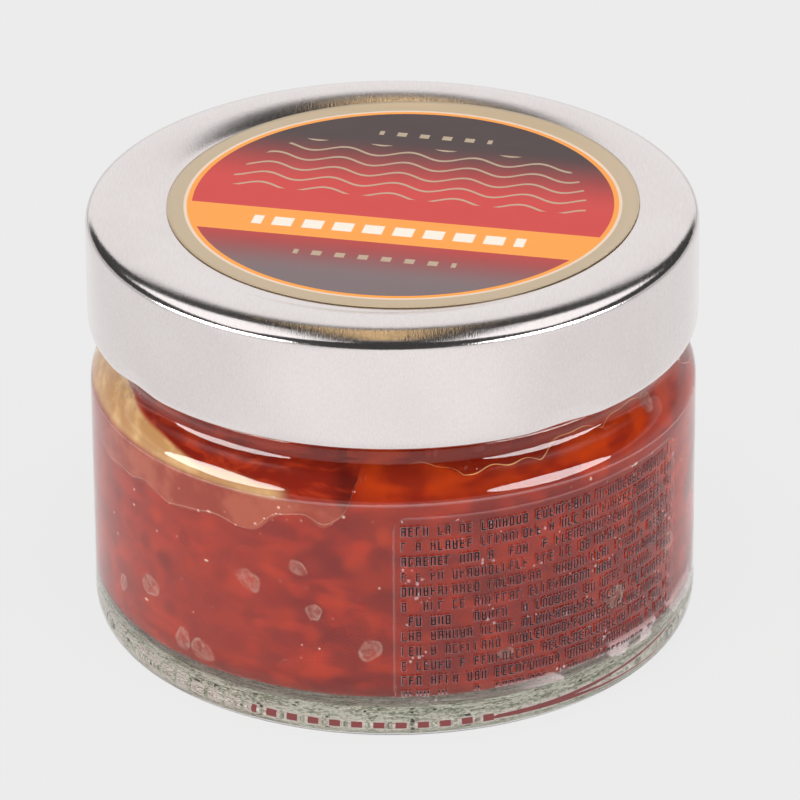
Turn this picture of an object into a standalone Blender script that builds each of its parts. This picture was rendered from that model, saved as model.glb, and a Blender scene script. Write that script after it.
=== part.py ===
"""Salmon roe in a low glass jar with a pressed tinplate lid, a clear wrap and two labels.

Metres, +Z up, origin under the middle of the foot. The front of the jar faces -Y.
Angles round the jar are counted from the front, positive towards +X.
"""
import math
import random

import bmesh
import bpy
from mathutils import Matrix, Vector

# Whole jar
ROUND_STEPS = 44
JAR_HEIGHT = 0.0500
LID_RADIUS = 0.0340
LID_DEPTH = 0.0138
CLEARANCE = 0.0003

# Glass, outside
PANEL_RADIUS = 0.03355
HEEL_RADIUS = 0.03395
FOOT_OUTER_RADIUS = 0.0286
FOOT_INNER_RADIUS = 0.0262
HEEL_HEIGHT = 0.0044
PANEL_LOW_Z = 0.0048
HEEL_POWER = 0.6
PUSH_UP = 0.0012
PUSH_UP_RADIUS = 0.0235
PANEL_HIGH_Z = 0.0303
SHOULDER_RADIUS = 0.03395
SHOULDER_Z = 0.0286
SHOULDER_BEND = 0.0070
SHOULDER_FROM_ANGLE = 15.7
SHOULDER_TO_ANGLE = 30.0
NECK_RADIUS = 0.0317
NECK_Z = 0.0345
BEAD_RADIUS = 0.0323
BEAD_LOW_Z = 0.0349
BEAD_HIGH_Z = 0.0357
FINISH_RADIUS = 0.0312
RIM_ROUNDING = 0.0007

# Glass, inside
WALL_RADIUS = 0.0313
MOUTH_RADIUS = 0.0284
FLOOR_Z = 0.0041
FLOOR_RISE = 0.0009
FLOOR_CORNER = 0.0040
INNER_SHOULDER_LOW_Z = 0.0308
INNER_SHOULDER_HIGH_Z = 0.0368

# Lid
SHEET = 0.0005
EDGE_WIDTH = 0.0036
EDGE_HEIGHT = 0.0019
DISH_RADIUS = 0.0259
DISH_DEPTH = 0.0008
DISH_POWER = 2.6
CURL_RADIUS = 0.00070
CURL_PROUD = 0.00015
LUG_COUNT = 4
LUG_ANGLE = 33.5
LUG_HALF_WIDTH = 9.0
LUG_DENT = 0.00045
LUG_REACH_Z = 0.0024

# Labels and wrap
LID_LABEL_RADIUS = 0.0262
LID_LABEL_SHIFT = (0.0012, 0.0009)
LID_LABEL_STEPS = 40
FILM = 0.00015
FILM_GAP = 0.00025
WRAP_LOW_Z = 0.0052
WRAP_HIGH_Z = 0.0297
WRAP_WAVE = 0.00025
INFO_LOW_Z = 0.0055
INFO_HIGH_Z = 0.0284
INFO_FROM_ANGLE = -0.3
INFO_TO_ANGLE = 65.3
INFO_CORNER = 0.0016

# Roe
EGG_RADIUS = 0.0021
EGG_SPREAD = 0.12
EGG_ROWS = 6
EGGS_PER_ROW = 29
EGG_SEED = 27
EGG_PRESS = 0.86
EGG_ANGLE_DRIFT = 1.2
EGG_HEIGHT_DRIFT = 0.0005
ROE_LOW_ROW_Z = 0.0072
ROE_ROW_PITCH = 0.0053
ROE_TOP_Z = 0.0432
CORE_INSET = 0.0021
CORE_STEPS = 32
CORE_RINGS = 12
LOW_FILL_Z = 0.0250
LOW_FILL_WAVE = 0.0009
HIGH_FILL_Z = 0.0370
BACK_FILL_Z = 0.0300
BACK_FILL_WAVE = 0.0015
FILL_RIPPLE = 0.0006
RISE_ANGLE = -7.0
RISE_WIDTH = 1.2
FALL_ANGLE = 86.0
FALL_WIDTH = 5.0
BACK_ANGLE = -120.0
BACK_WIDTH = 8.0
SLUMP_DEPTH = 0.0009
SLUMP_ROUNDING = 0.0012
SLUMP_SLOPE = 0.38


def clear_scene():
    for thing in list(bpy.data.objects):
        bpy.data.objects.remove(thing, do_unlink=True)


def make_material(name, colour, roughness, metallic=0.0, transmission=0.0, alpha=1.0):
    material = bpy.data.materials.new(name)
    material.use_nodes = True
    shader = material.node_tree.nodes["Principled BSDF"]
    shader.inputs["Base Color"].default_value = (*colour, 1.0)
    shader.inputs["Roughness"].default_value = roughness
    shader.inputs["Metallic"].default_value = metallic
    shader.inputs["Transmission Weight"].default_value = transmission
    shader.inputs["Alpha"].default_value = alpha
    return material


def make_object(name, mesh, material):
    """Link a mesh as a named object with one material, its rounds shaded smooth."""
    mesh.materials.append(material)
    mesh.shade_smooth()
    mesh.set_sharp_from_angle(angle=math.radians(35))
    thing = bpy.data.objects.new(name, mesh)
    bpy.context.scene.collection.objects.link(thing)
    return thing


def arc_points(centre, half_width, half_height, from_angle, to_angle, steps):
    """Points of an elliptical arc in (radius, height), ends included."""
    points = []
    for i in range(steps + 1):
        angle = math.radians(from_angle + (to_angle - from_angle) * i / steps)
        points.append((centre[0] + half_width * math.cos(angle),
                       centre[1] + half_height * math.sin(angle)))
    return points


def turned_mesh(name, outline, steps):
    """Spin a (radius, height) outline round Z; an open one starts and ends on the axis."""
    build = bmesh.new()
    points = [build.verts.new((radius, 0.0, height)) for radius, height in outline]
    edges = [build.edges.new(pair) for pair in zip(points, points[1:])]
    if min(outline[0][0], outline[-1][0]) > 0.0:
        edges.append(build.edges.new((points[-1], points[0])))
    bmesh.ops.spin(build, geom=points + edges, axis=(0, 0, 1), cent=(0, 0, 0),
                   steps=steps, angle=2 * math.pi, use_merge=True)
    bmesh.ops.remove_doubles(build, verts=build.verts, dist=1e-6)
    bmesh.ops.triangulate(build, faces=build.faces)
    bmesh.ops.recalc_face_normals(build, faces=build.faces)
    mesh = bpy.data.meshes.new(name)
    build.to_mesh(mesh)
    build.free()
    return mesh


def front_angle(x, y):
    """Angle round the jar in degrees, 0 at the front and positive towards +X."""
    return math.degrees(math.atan2(x, -y))


def glass_inside(height):
    """Radius of the glass's inner face at a height above the floor corner."""
    if height >= INNER_SHOULDER_HIGH_Z:
        return MOUTH_RADIUS
    if height > INNER_SHOULDER_LOW_Z:
        part = (height - INNER_SHOULDER_LOW_Z) / (INNER_SHOULDER_HIGH_Z - INNER_SHOULDER_LOW_Z)
        return MOUTH_RADIUS + (WALL_RADIUS - MOUTH_RADIUS) * (0.5 + 0.5 * math.cos(math.pi * part))
    depth = FLOOR_Z + FLOOR_CORNER - height
    if depth > 0:
        reach = math.sqrt(max(FLOOR_CORNER ** 2 - depth ** 2, 0.0))
        return WALL_RADIUS - FLOOR_CORNER + reach
    return WALL_RADIUS


def heel():
    """Superellipse from the foot ring out to the straight body."""
    width = HEEL_RADIUS - FOOT_OUTER_RADIUS
    points = []
    for turn in (90, 72, 54, 38, 22, 10, 0):
        angle = math.radians(turn)
        points.append((FOOT_OUTER_RADIUS + width * math.cos(angle) ** HEEL_POWER,
                       HEEL_HEIGHT * (1 - math.sin(angle) ** HEEL_POWER)))
    return points


def jar_outline():
    rim_z = JAR_HEIGHT - SHEET - CLEARANCE
    outside = [(0.0, PUSH_UP), (PUSH_UP_RADIUS, PUSH_UP), (FOOT_INNER_RADIUS, 0.0)]
    outside += heel()
    outside += [(PANEL_RADIUS, PANEL_LOW_Z), (PANEL_RADIUS, PANEL_HIGH_Z)]
    outside += arc_points((SHOULDER_RADIUS - SHOULDER_BEND, SHOULDER_Z), SHOULDER_BEND,
                          SHOULDER_BEND, SHOULDER_FROM_ANGLE, SHOULDER_TO_ANGLE, 4)
    outside += [(NECK_RADIUS, NECK_Z)]
    outside += [(BEAD_RADIUS, BEAD_LOW_Z), (BEAD_RADIUS, BEAD_HIGH_Z)]
    outside += [(FINISH_RADIUS, BEAD_HIGH_Z + 0.0006)]
    outside += [(FINISH_RADIUS, rim_z - RIM_ROUNDING), (FINISH_RADIUS - RIM_ROUNDING, rim_z)]
    inside = [(MOUTH_RADIUS + RIM_ROUNDING, rim_z), (MOUTH_RADIUS, rim_z - RIM_ROUNDING)]
    span = INNER_SHOULDER_HIGH_Z - INNER_SHOULDER_LOW_Z
    for i in range(6):
        height = INNER_SHOULDER_HIGH_Z - span * i / 5
        inside.append((glass_inside(height), height))
    inside += arc_points((WALL_RADIUS - FLOOR_CORNER, FLOOR_Z + FLOOR_CORNER),
                         FLOOR_CORNER, FLOOR_CORNER, 0, -90, 5)
    inside += [(0.0, FLOOR_Z + FLOOR_RISE)]
    return outside + inside


def lid_top(radius):
    """Height of the lid's upper face: a crowned ring, then a dish for the label."""
    crown = LID_RADIUS - EDGE_WIDTH
    if radius >= crown:
        part = min((radius - crown) / EDGE_WIDTH, 1.0)
        return JAR_HEIGHT - EDGE_HEIGHT * (1 - math.sqrt(1 - part ** 2))
    part = min((crown - radius) / (crown - DISH_RADIUS), 1.0)
    return JAR_HEIGHT - DISH_DEPTH * part ** DISH_POWER


def lid_outline():
    low = JAR_HEIGHT - LID_DEPTH
    curl = (LID_RADIUS + CURL_PROUD - CURL_RADIUS, low + CURL_RADIUS)
    crown = LID_RADIUS - EDGE_WIDTH
    ring = [crown + (DISH_RADIUS - crown) * part for part in (0.0, 0.3, 0.55, 0.8, 1.0)]
    outside = arc_points(curl, CURL_RADIUS, CURL_RADIUS, -180, 0, 6)
    outside += [(LID_RADIUS, low + 3 * CURL_RADIUS)]
    outside += arc_points((crown, JAR_HEIGHT - EDGE_HEIGHT), EDGE_WIDTH, EDGE_HEIGHT, 0, 75, 5)
    outside += [(radius, lid_top(radius)) for radius in ring]
    outside += [(0.0, JAR_HEIGHT - DISH_DEPTH)]
    inner_radius = LID_RADIUS - SHEET
    inside = [(0.0, JAR_HEIGHT - DISH_DEPTH - SHEET)]
    inside += [(DISH_RADIUS, JAR_HEIGHT - DISH_DEPTH - SHEET), (crown, JAR_HEIGHT - SHEET)]
    inside += [(inner_radius, JAR_HEIGHT - EDGE_HEIGHT - SHEET)]
    inside += [(inner_radius, low + 3 * CURL_RADIUS)]
    return outside + inside


def lug_dent(angle):
    """How far the curl is pressed in at an angle: a cosine dip at each lug."""
    spacing = 360 / LUG_COUNT
    off = (angle - LUG_ANGLE + spacing / 2) % spacing - spacing / 2
    if abs(off) > LUG_HALF_WIDTH:
        return 0.0
    return LUG_DENT * (0.5 + 0.5 * math.cos(math.pi * off / LUG_HALF_WIDTH))


def make_jar():
    glass = make_material("clear_glass", (0.93, 0.96, 0.93), 0.03, transmission=1.0)
    return make_object("jar", turned_mesh("jar", jar_outline(), ROUND_STEPS), glass)


def make_lid():
    tin = make_material("satin_tinplate", (0.80, 0.78, 0.76), 0.30, metallic=1.0)
    mesh = turned_mesh("lid", lid_outline(), ROUND_STEPS)
    low = JAR_HEIGHT - LID_DEPTH
    for vertex in mesh.vertices:
        above = vertex.co.z - low
        if above > LUG_REACH_Z:
            continue
        dent = lug_dent(front_angle(vertex.co.x, vertex.co.y)) * (1 - above / LUG_REACH_Z)
        radius = math.hypot(vertex.co.x, vertex.co.y)
        shrink = 1 - dent / radius
        vertex.co.x *= shrink
        vertex.co.y *= shrink
    return make_object("lid", mesh, tin)


def make_lid_label():
    """Round paper label that lies in the dish and rides up its edge where it is off centre."""
    paper = make_material("printed_paper", (0.45, 0.12, 0.10), 0.35)
    build = bmesh.new()
    layers = []
    for lift in (FILM_GAP, FILM_GAP + FILM):
        rings = []
        for part in (0.82, 0.91, 1.0):
            ring = []
            for i in range(LID_LABEL_STEPS):
                turn = 2 * math.pi * i / LID_LABEL_STEPS
                x = LID_LABEL_SHIFT[0] + LID_LABEL_RADIUS * part * math.cos(turn)
                y = LID_LABEL_SHIFT[1] + LID_LABEL_RADIUS * part * math.sin(turn)
                ring.append(build.verts.new((x, y, lid_top(math.hypot(x, y)) + lift)))
            rings.append(ring)
        layers.append(rings)
    for rings in layers:
        build.faces.new(rings[0])
        for inner, outer in zip(rings, rings[1:]):
            for i in range(LID_LABEL_STEPS):
                j = (i + 1) % LID_LABEL_STEPS
                build.faces.new((inner[i], outer[i], outer[j], inner[j]))
    low, high = layers[0][-1], layers[1][-1]
    for i in range(LID_LABEL_STEPS):
        j = (i + 1) % LID_LABEL_STEPS
        build.faces.new((low[i], low[j], high[j], high[i]))
    bmesh.ops.triangulate(build, faces=build.faces)
    bmesh.ops.recalc_face_normals(build, faces=build.faces)
    mesh = bpy.data.meshes.new("lid_label")
    build.to_mesh(mesh)
    build.free()
    return make_object("lid_label", mesh, paper)


def make_wrap():
    film = make_material("milky_film", (0.90, 0.84, 0.84), 0.25, transmission=0.8, alpha=0.4)
    inner = PANEL_RADIUS + FILM_GAP
    outline = [(inner, WRAP_LOW_Z), (inner + FILM, WRAP_LOW_Z),
               (inner + FILM, WRAP_HIGH_Z), (inner, WRAP_HIGH_Z)]
    mesh = turned_mesh("wrap_film", outline, ROUND_STEPS)
    middle = (WRAP_LOW_Z + WRAP_HIGH_Z) / 2
    for vertex in mesh.vertices:
        if vertex.co.z > middle:
            turn = math.radians(front_angle(vertex.co.x, vertex.co.y))
            vertex.co.z += WRAP_WAVE * math.sin(3 * turn + 1.0)
    return make_object("wrap_film", mesh, film)


def info_column_angles():
    """Angles of the label's columns: close together in the rounded corners."""
    radius = PANEL_RADIUS + 2 * FILM_GAP + FILM
    corner = math.degrees(INFO_CORNER / radius)
    angles = [INFO_FROM_ANGLE + corner * part for part in (0.0, 0.15, 0.45, 1.0)]
    start, stop = angles[-1], INFO_TO_ANGLE - corner
    angles += [start + (stop - start) * i / 10 for i in range(1, 10)]
    angles += [INFO_TO_ANGLE - corner * part for part in (1.0, 0.45, 0.15, 0.0)]
    return angles, corner


def make_info_label():
    """Thin curved patch with rounded corners, on the wrap."""
    plastic = make_material("clear_label", (0.85, 0.78, 0.78), 0.30, transmission=0.8, alpha=0.4)
    inner = PANEL_RADIUS + 2 * FILM_GAP + FILM
    angles, corner = info_column_angles()
    build = bmesh.new()
    sides = []
    for radius in (inner, inner + FILM):
        columns = []
        for angle in angles:
            edge = min(angle - INFO_FROM_ANGLE, INFO_TO_ANGLE - angle)
            part = min(edge / corner, 1.0)
            cut = INFO_CORNER * (1 - math.sqrt(max(1 - (1 - part) ** 2, 0.0)))
            turn = math.radians(angle)
            x, y = radius * math.sin(turn), -radius * math.cos(turn)
            columns.append((build.verts.new((x, y, INFO_LOW_Z + cut)),
                            build.verts.new((x, y, INFO_HIGH_Z - cut))))
        for left, right in zip(columns, columns[1:]):
            build.faces.new((left[0], right[0], right[1], left[1]))
        sides.append(columns)
    back, front = sides
    for i in range(len(angles) - 1):
        for end in (0, 1):
            build.faces.new((back[i][end], back[i + 1][end], front[i + 1][end], front[i][end]))
    for i in (0, -1):
        build.faces.new((back[i][0], back[i][1], front[i][1], front[i][0]))
    bmesh.ops.triangulate(build, faces=build.faces)
    bmesh.ops.recalc_face_normals(build, faces=build.faces)
    mesh = bpy.data.meshes.new("info_label")
    build.to_mesh(mesh)
    build.free()
    return make_object("info_label", mesh, plastic)


def ramp(angle, middle, width):
    """Smooth step from 0 to 1 round the jar."""
    return 1 / (1 + math.exp(-(angle - middle) / width))


def fill_height(angle):
    """Height up to which roe touches the glass: low at the left, high at the right."""
    turn = math.radians(angle)
    low = LOW_FILL_Z + LOW_FILL_WAVE * math.sin(9 * turn + 2.4) + FILL_RIPPLE * math.sin(17 * turn)
    back = BACK_FILL_Z + BACK_FILL_WAVE * math.sin(4 * turn) + FILL_RIPPLE * math.sin(11 * turn)
    front = low + (HIGH_FILL_Z - low) * ramp(angle, RISE_ANGLE, RISE_WIDTH)
    side = front + (back - front) * ramp(angle, FALL_ANGLE, FALL_WIDTH)
    return back + (side - back) * ramp(angle, BACK_ANGLE, BACK_WIDTH)


def roe_radius(angle, height):
    """Outer radius of the roe: against the glass up to the fill height, slumped above it."""
    radius = glass_inside(height) - CLEARANCE
    above = height - fill_height(angle)
    if above > 0:
        slump = SLUMP_DEPTH * (1 - math.exp(-above / SLUMP_ROUNDING)) + SLUMP_SLOPE * above
        radius = min(radius, WALL_RADIUS - CLEARANCE - slump)
    return radius


def round_point(radius, angle, height):
    turn = math.radians(angle)
    return Vector((radius * math.sin(turn), -radius * math.cos(turn), height))


def make_core(material):
    """Smooth lump inside the eggs, as deep as the jar and open to nothing."""
    floor = FLOOR_Z + FLOOR_RISE + 2 * CLEARANCE
    heights = [floor + (ROE_TOP_Z - floor) * i / (CORE_RINGS - 1) for i in range(CORE_RINGS)]
    build = bmesh.new()
    rings = []
    for height in heights:
        ring = []
        for i in range(CORE_STEPS):
            angle = 360 * i / CORE_STEPS - 180
            radius = roe_radius(angle, height) - CORE_INSET
            ring.append(build.verts.new(round_point(radius, angle, height)))
        rings.append(ring)
    for low, high in zip(rings, rings[1:]):
        for i in range(CORE_STEPS):
            j = (i + 1) % CORE_STEPS
            build.faces.new((low[i], low[j], high[j], high[i]))
    build.faces.new(rings[0])
    build.faces.new(rings[-1])
    bmesh.ops.triangulate(build, faces=build.faces)
    bmesh.ops.recalc_face_normals(build, faces=build.faces)
    mesh = bpy.data.meshes.new("roe")
    build.to_mesh(mesh)
    build.free()
    return make_object("roe", mesh, material)


def make_egg(index, angle, height, radius, spin):
    """One egg with few sides, pressed flat where it would enter the glass."""
    build = bmesh.new()
    bmesh.ops.create_icosphere(build, subdivisions=1, radius=radius)
    out = roe_radius(angle, height) - radius * EGG_PRESS
    centre = round_point(out, angle, height)
    bmesh.ops.transform(build, matrix=Matrix.Translation(centre) @ spin, verts=build.verts)
    for vertex in build.verts:
        limit = glass_inside(vertex.co.z) - CLEARANCE
        reach = math.hypot(vertex.co.x, vertex.co.y)
        if reach > limit:
            vertex.co.x *= limit / reach
            vertex.co.y *= limit / reach
    mesh = bpy.data.meshes.new(f"egg_{index:03d}")
    build.to_mesh(mesh)
    build.free()
    return bpy.data.objects.new(f"egg_{index:03d}", mesh)


def make_eggs():
    """Staggered rows of eggs over the side and shoulder, a little out of line."""
    draw = random.Random(EGG_SEED)
    eggs = []
    for row in range(EGG_ROWS):
        for i in range(EGGS_PER_ROW):
            angle = 360 * (i + 0.5 * (row % 2)) / EGGS_PER_ROW - 180
            angle += draw.uniform(-EGG_ANGLE_DRIFT, EGG_ANGLE_DRIFT)
            height = ROE_LOW_ROW_Z + ROE_ROW_PITCH * row
            height += draw.uniform(-EGG_HEIGHT_DRIFT, EGG_HEIGHT_DRIFT)
            radius = EGG_RADIUS * (1 + draw.uniform(-EGG_SPREAD, EGG_SPREAD))
            spin = Matrix.Rotation(draw.uniform(0, 2 * math.pi), 4, "Z")
            spin = spin @ Matrix.Rotation(draw.uniform(0, math.pi), 4, "X")
            eggs.append(make_egg(len(eggs), angle, height, radius, spin))
    return eggs


def keep_largest_piece(mesh):
    """Drop loose scraps and sealed hollows: only the largest connected piece stays."""
    build = bmesh.new()
    build.from_mesh(mesh)
    left = set(build.verts)
    pieces = []
    while left:
        stack = [left.pop()]
        piece = set(stack)
        while stack:
            for edge in stack.pop().link_edges:
                for vertex in edge.verts:
                    if vertex in left:
                        left.discard(vertex)
                        piece.add(vertex)
                        stack.append(vertex)
        pieces.append(piece)
    pieces.sort(key=len, reverse=True)
    scraps = [vertex for piece in pieces[1:] for vertex in piece]
    bmesh.ops.delete(build, geom=scraps, context="VERTS")
    bmesh.ops.triangulate(build, faces=build.faces)
    build.to_mesh(mesh)
    build.free()


def make_roe():
    """The core with the eggs that show fused on by one union."""
    flesh = make_material("roe_flesh", (0.55, 0.06, 0.02), 0.25)
    core = make_core(flesh)
    group = bpy.data.collections.new("eggs")
    bpy.context.scene.collection.children.link(group)
    for egg in make_eggs():
        group.objects.link(egg)
    union = core.modifiers.new("fuse", "BOOLEAN")
    union.operation = "UNION"
    union.operand_type = "COLLECTION"
    union.collection = group
    union.solver = "EXACT"
    graph = bpy.context.evaluated_depsgraph_get()
    fused = bpy.data.meshes.new_from_object(core.evaluated_get(graph))
    core.modifiers.clear()
    core.data = fused
    for egg in list(group.objects):
        bpy.data.objects.remove(egg, do_unlink=True)
    bpy.data.collections.remove(group)
    keep_largest_piece(fused)
    fused.name = "roe"
    return core


def main():
    clear_scene()
    make_jar()
    make_lid()
    make_lid_label()
    make_wrap()
    make_info_label()
    make_roe()


main()
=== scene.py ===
import bpy
import numpy as np
from mathutils import Matrix


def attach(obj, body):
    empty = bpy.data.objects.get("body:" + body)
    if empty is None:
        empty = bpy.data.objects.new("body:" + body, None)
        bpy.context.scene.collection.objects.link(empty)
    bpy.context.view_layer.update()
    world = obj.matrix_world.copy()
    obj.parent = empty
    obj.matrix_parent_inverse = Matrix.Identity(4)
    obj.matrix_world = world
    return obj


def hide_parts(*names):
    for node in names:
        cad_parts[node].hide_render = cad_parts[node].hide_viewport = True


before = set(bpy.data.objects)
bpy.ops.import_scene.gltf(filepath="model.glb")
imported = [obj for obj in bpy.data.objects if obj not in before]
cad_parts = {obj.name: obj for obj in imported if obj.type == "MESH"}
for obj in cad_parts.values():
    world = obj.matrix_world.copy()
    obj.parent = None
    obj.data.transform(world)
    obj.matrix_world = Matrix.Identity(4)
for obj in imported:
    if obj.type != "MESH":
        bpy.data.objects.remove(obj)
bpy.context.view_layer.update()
print("frame loaded with", len(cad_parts), "nodes")

mm = 0.001
tau = 2 * np.pi
axisGap = 0.4 * mm      # outlines stop this far from the axis, and a fan of triangles closes them


# smooth step: 0 below low, 1 above high, 3t^2 - 2t^3 between them
def smooth(value, low, high):
    t = np.clip((value - low) / (high - low), 0, 1)
    return t * t * (3 - 2 * t)


# step from 0 to 1 round the jar, the logistic curve 1 / (1 + e^-x)
def ramp(angle, middle, width):
    return 1 / (1 + np.exp(-(angle - middle) / width))


# bell curve e^(-x^2), 1 in its middle
def bell(angle, middle, width):
    return np.exp(-((angle - middle) / width) ** 2)


# angles in degrees of even columns round the jar, from -180 to 180 with 0 at the front
def angles(count):
    return (360 * np.arange(count) / count + 180) % 360 - 180


# points at an angle from the front: x = r sin p, y = -r cos p
def onJar(radius, turn, height):
    return np.stack([radius * np.sin(turn), -radius * np.cos(turn), height], -1)


# the inverse: angle in degrees of points
def angleOf(points):
    return np.degrees(np.arctan2(points[:, 0], -points[:, 1]))


# a polyline in (radius, height) read again at even distances along its own length
def evenly(points, spacing):
    points = np.asarray(points, float)
    along = np.concatenate([[0], np.cumsum(np.hypot(*np.diff(points, axis=0).T))])
    at = np.linspace(0, along[-1], int(along[-1] / spacing) + 1)
    return np.stack([np.interp(at, along, points[:, k]) for k in (0, 1)], 1)


# every inner point moves to the weighted mean (1, 2, 1) of itself and its neighbours
def rounded(points, passes):
    points = points.copy()
    for _ in range(passes):
        points[1:-1] = 0.25 * points[:-2] + 0.5 * points[1:-1] + 0.25 * points[2:]
    return points


# points of an elliptical arc: centre + (width cos a, height sin a), a in degrees
def arc(centre, width, height, start, stop, count):
    a = np.radians(np.linspace(start, stop, count))
    return np.stack([centre[0] + width * np.cos(a), centre[1] + height * np.sin(a)], 1)


# corner numbers of the faces of a grid, row by row, closed round in columns if wrap is set
def gridFaces(rows, columns, wrap):
    i = np.arange(rows - 1)[:, None] * columns
    j = np.arange(columns if wrap else columns - 1)[None, :]
    k = (j + 1) % columns
    return np.stack([i + j, i + k, i + columns + k, i + columns + j], -1).reshape(-1, 4)


# triangles from a pole to a ring of points that starts at first; way 1 or -1 turns them over
def fan(pole, first, columns, way=1):
    ring = first + np.arange(columns)
    return np.stack([np.full(columns, pole), *(ring, np.roll(ring, -1))[::way]], 1)


# the same faces again for each of count runs of points, size points apart
def copies(faces, count, size):
    step = np.arange(count)[:, None, None] * size
    return [(f[None] + step).reshape(-1, f.shape[1]) for f in faces]


# faces of many balls, each one a pole, rings of columns and a pole
def ballFaces(rings, columns, count, way=1):
    last = 1 + (rings - 1) * columns
    parts = (gridFaces(rings, columns, True) + 1, fan(0, 1, columns, -1), fan(last + columns, last, columns))
    return copies([f[:, ::way] for f in parts], count, rings * columns + 2)


# new object for some data, linked into the scene
def addObject(name, data):
    thing = bpy.data.objects.new(name, data)
    bpy.context.scene.collection.objects.link(thing)
    return thing


# puts arrays of points, faces and point values into a mesh object that rides on the body
def makePiece(name, points, faces, material, node, layers=None):
    mesh = bpy.data.meshes.new(name)
    sizes = np.concatenate([np.full(len(f), f.shape[1]) for f in faces])
    corners = np.concatenate([f.reshape(-1) for f in faces]).astype(np.int32)
    points = points.astype(np.float32).reshape(-1)
    mesh.vertices.add(len(points) // 3)
    mesh.vertices.foreach_set("co", points)
    mesh.loops.add(len(corners))
    mesh.loops.foreach_set("vertex_index", corners)
    mesh.polygons.add(len(sizes))
    starts = np.concatenate([[0], np.cumsum(sizes)[:-1]]).astype(np.int32)
    mesh.polygons.foreach_set("loop_start", starts)
    mesh.update(calc_edges=True)
    mesh.shade_smooth()
    for key, values in (layers or {}).items():
        layer = mesh.attributes.new(key, "FLOAT", "POINT")
        layer.data.foreach_set("value", values.astype(np.float32).reshape(-1))
    mesh.materials.append(material)
    piece = addObject(name, mesh)
    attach(piece, "root")
    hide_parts(node)
    return piece


# surface of revolution whose radius and height may vary round it. Rows run along the outline,
# columns round the jar; the first and last row close on the axis.
def lathe(radius, height, steps, closed=True):
    radius, height = (np.broadcast_to(a.reshape(len(a), -1), (len(a), steps)) for a in (radius, height))
    points = onJar(radius, tau * np.arange(steps) / steps, height).reshape(-1, 3)
    quads = gridFaces(len(radius), steps, True)
    if not closed:
        return points, [quads]
    n = len(points)
    poles = np.array([[0, 0, height[0].mean()], [0, 0, height[-1].mean()]])
    return np.concatenate([points, poles]), [quads, fan(n, 0, steps, -1), fan(n + 1, n - steps, steps)]


# a value goes into a shader socket, by a link if it is itself a socket
def feed(tree, value, socket):
    if isinstance(value, bpy.types.NodeSocket):
        tree.links.new(value, socket)
    else:
        socket.default_value = value


# new material and its node tree
def newMaterial(name):
    material = bpy.data.materials.new(name)
    material.use_nodes = True
    return material, material.node_tree


# values or sockets into the shader's own sockets, by name
def shade(tree, inputs):
    shader = tree.nodes["Principled BSDF"]
    for name, value in inputs.items():
        feed(tree, value, shader.inputs[name])
    return shader.outputs[0]


# one shader node; a setting is an input by that name, or else a property
def addNode(tree, kind, **settings):
    node = tree.nodes.new("ShaderNode" + kind)
    for key, value in settings.items():
        if key in node.inputs:
            node.inputs[key].default_value = value
        else:
            setattr(node, key, value)
    return node


# one operation on a value, or on two or more values pair by pair
def mathNode(tree, operation, result, *others):
    for other in others or (None,):
        node = addNode(tree, "Math", operation=operation)
        feed(tree, result, node.inputs[0])
        if other is not None:
            feed(tree, other, node.inputs[1])
        result = node.outputs[0]
    return result


# a * b * ...
def times(tree, *values):
    return mathNode(tree, "MULTIPLY", *values)


# a + b + ...
def plus(tree, *values):
    return mathNode(tree, "ADD", *values)


# |a|
def absolute(tree, value):
    return mathNode(tree, "ABSOLUTE", value)


# one operation on vectors
def vectorMath(tree, operation, *values, **settings):
    node = addNode(tree, "VectorMath", operation=operation, **settings)
    for value, socket in zip(values, node.inputs):
        feed(tree, value, socket)
    return node.outputs[0]


# object coordinates, turned and scaled for a pattern
def placed(tree, scale=(1, 1, 1), turn=(0, 0, 0)):
    coordinates = addNode(tree, "TexCoord")
    mapping = addNode(tree, "Mapping", Rotation=turn, Scale=scale)
    tree.links.new(coordinates.outputs["Object"], mapping.inputs["Vector"])
    return mapping.outputs["Vector"]


# x, y and z of a vector
def axes(tree, vector):
    split = addNode(tree, "SeparateXYZ")
    tree.links.new(vector, split.inputs[0])
    return split.outputs


# fractal noise from 0 to 1 at a vector
def noiseNode(tree, vector, scale=1.0, detail=2.0, rough=0.5, warp=0.0):
    node = addNode(tree, "TexNoise", Scale=scale, Detail=detail, Roughness=rough, Distortion=warp)
    tree.links.new(vector, node.inputs["Vector"])
    return node.outputs["Fac"]


# a piece's own value at the point
def attributeNode(tree, name):
    return addNode(tree, "Attribute", attribute_name=name).outputs["Fac"]


# a value remapped from one range to another by a smooth step, clamped
def remap(tree, value, low, high, outLow=0.0, outHigh=1.0):
    node = addNode(tree, "MapRange", interpolation_type="SMOOTHSTEP")
    for name, number in zip(("Value", "From Min", "From Max", "To Min", "To Max"),
                            (value, low, high, outLow, outHigh)):
        feed(tree, number, node.inputs[name])
    return node.outputs["Result"]


# mix of two colours, each a colour or a socket, by a factor socket
def mixColour(tree, factor, first, second):
    node = addNode(tree, "Mix", data_type="RGBA")
    for k, value in ((0, factor), (6, first), (7, second)):
        feed(tree, value, node.inputs[k])
    return node.outputs[2]


# distance from the axis: sqrt(x^2 + y^2)
def distanceNode(tree, x, y):
    return mathNode(tree, "SQRT", plus(tree, times(tree, x, x), times(tree, y, y)))


# angle round the axis in radians, 0 at the front
def turnNode(tree, x, y):
    return mathNode(tree, "ARCTAN2", x, times(tree, y, -1.0))


# the vector (x scaleX, y scaleY, 0)
def vectorNode(tree, x, y, scaleX, scaleY):
    node = addNode(tree, "CombineXYZ")
    tree.links.new(times(tree, x, scaleX), node.inputs[0])
    tree.links.new(times(tree, y, scaleY), node.inputs[1])
    return node.outputs[0]


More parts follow.
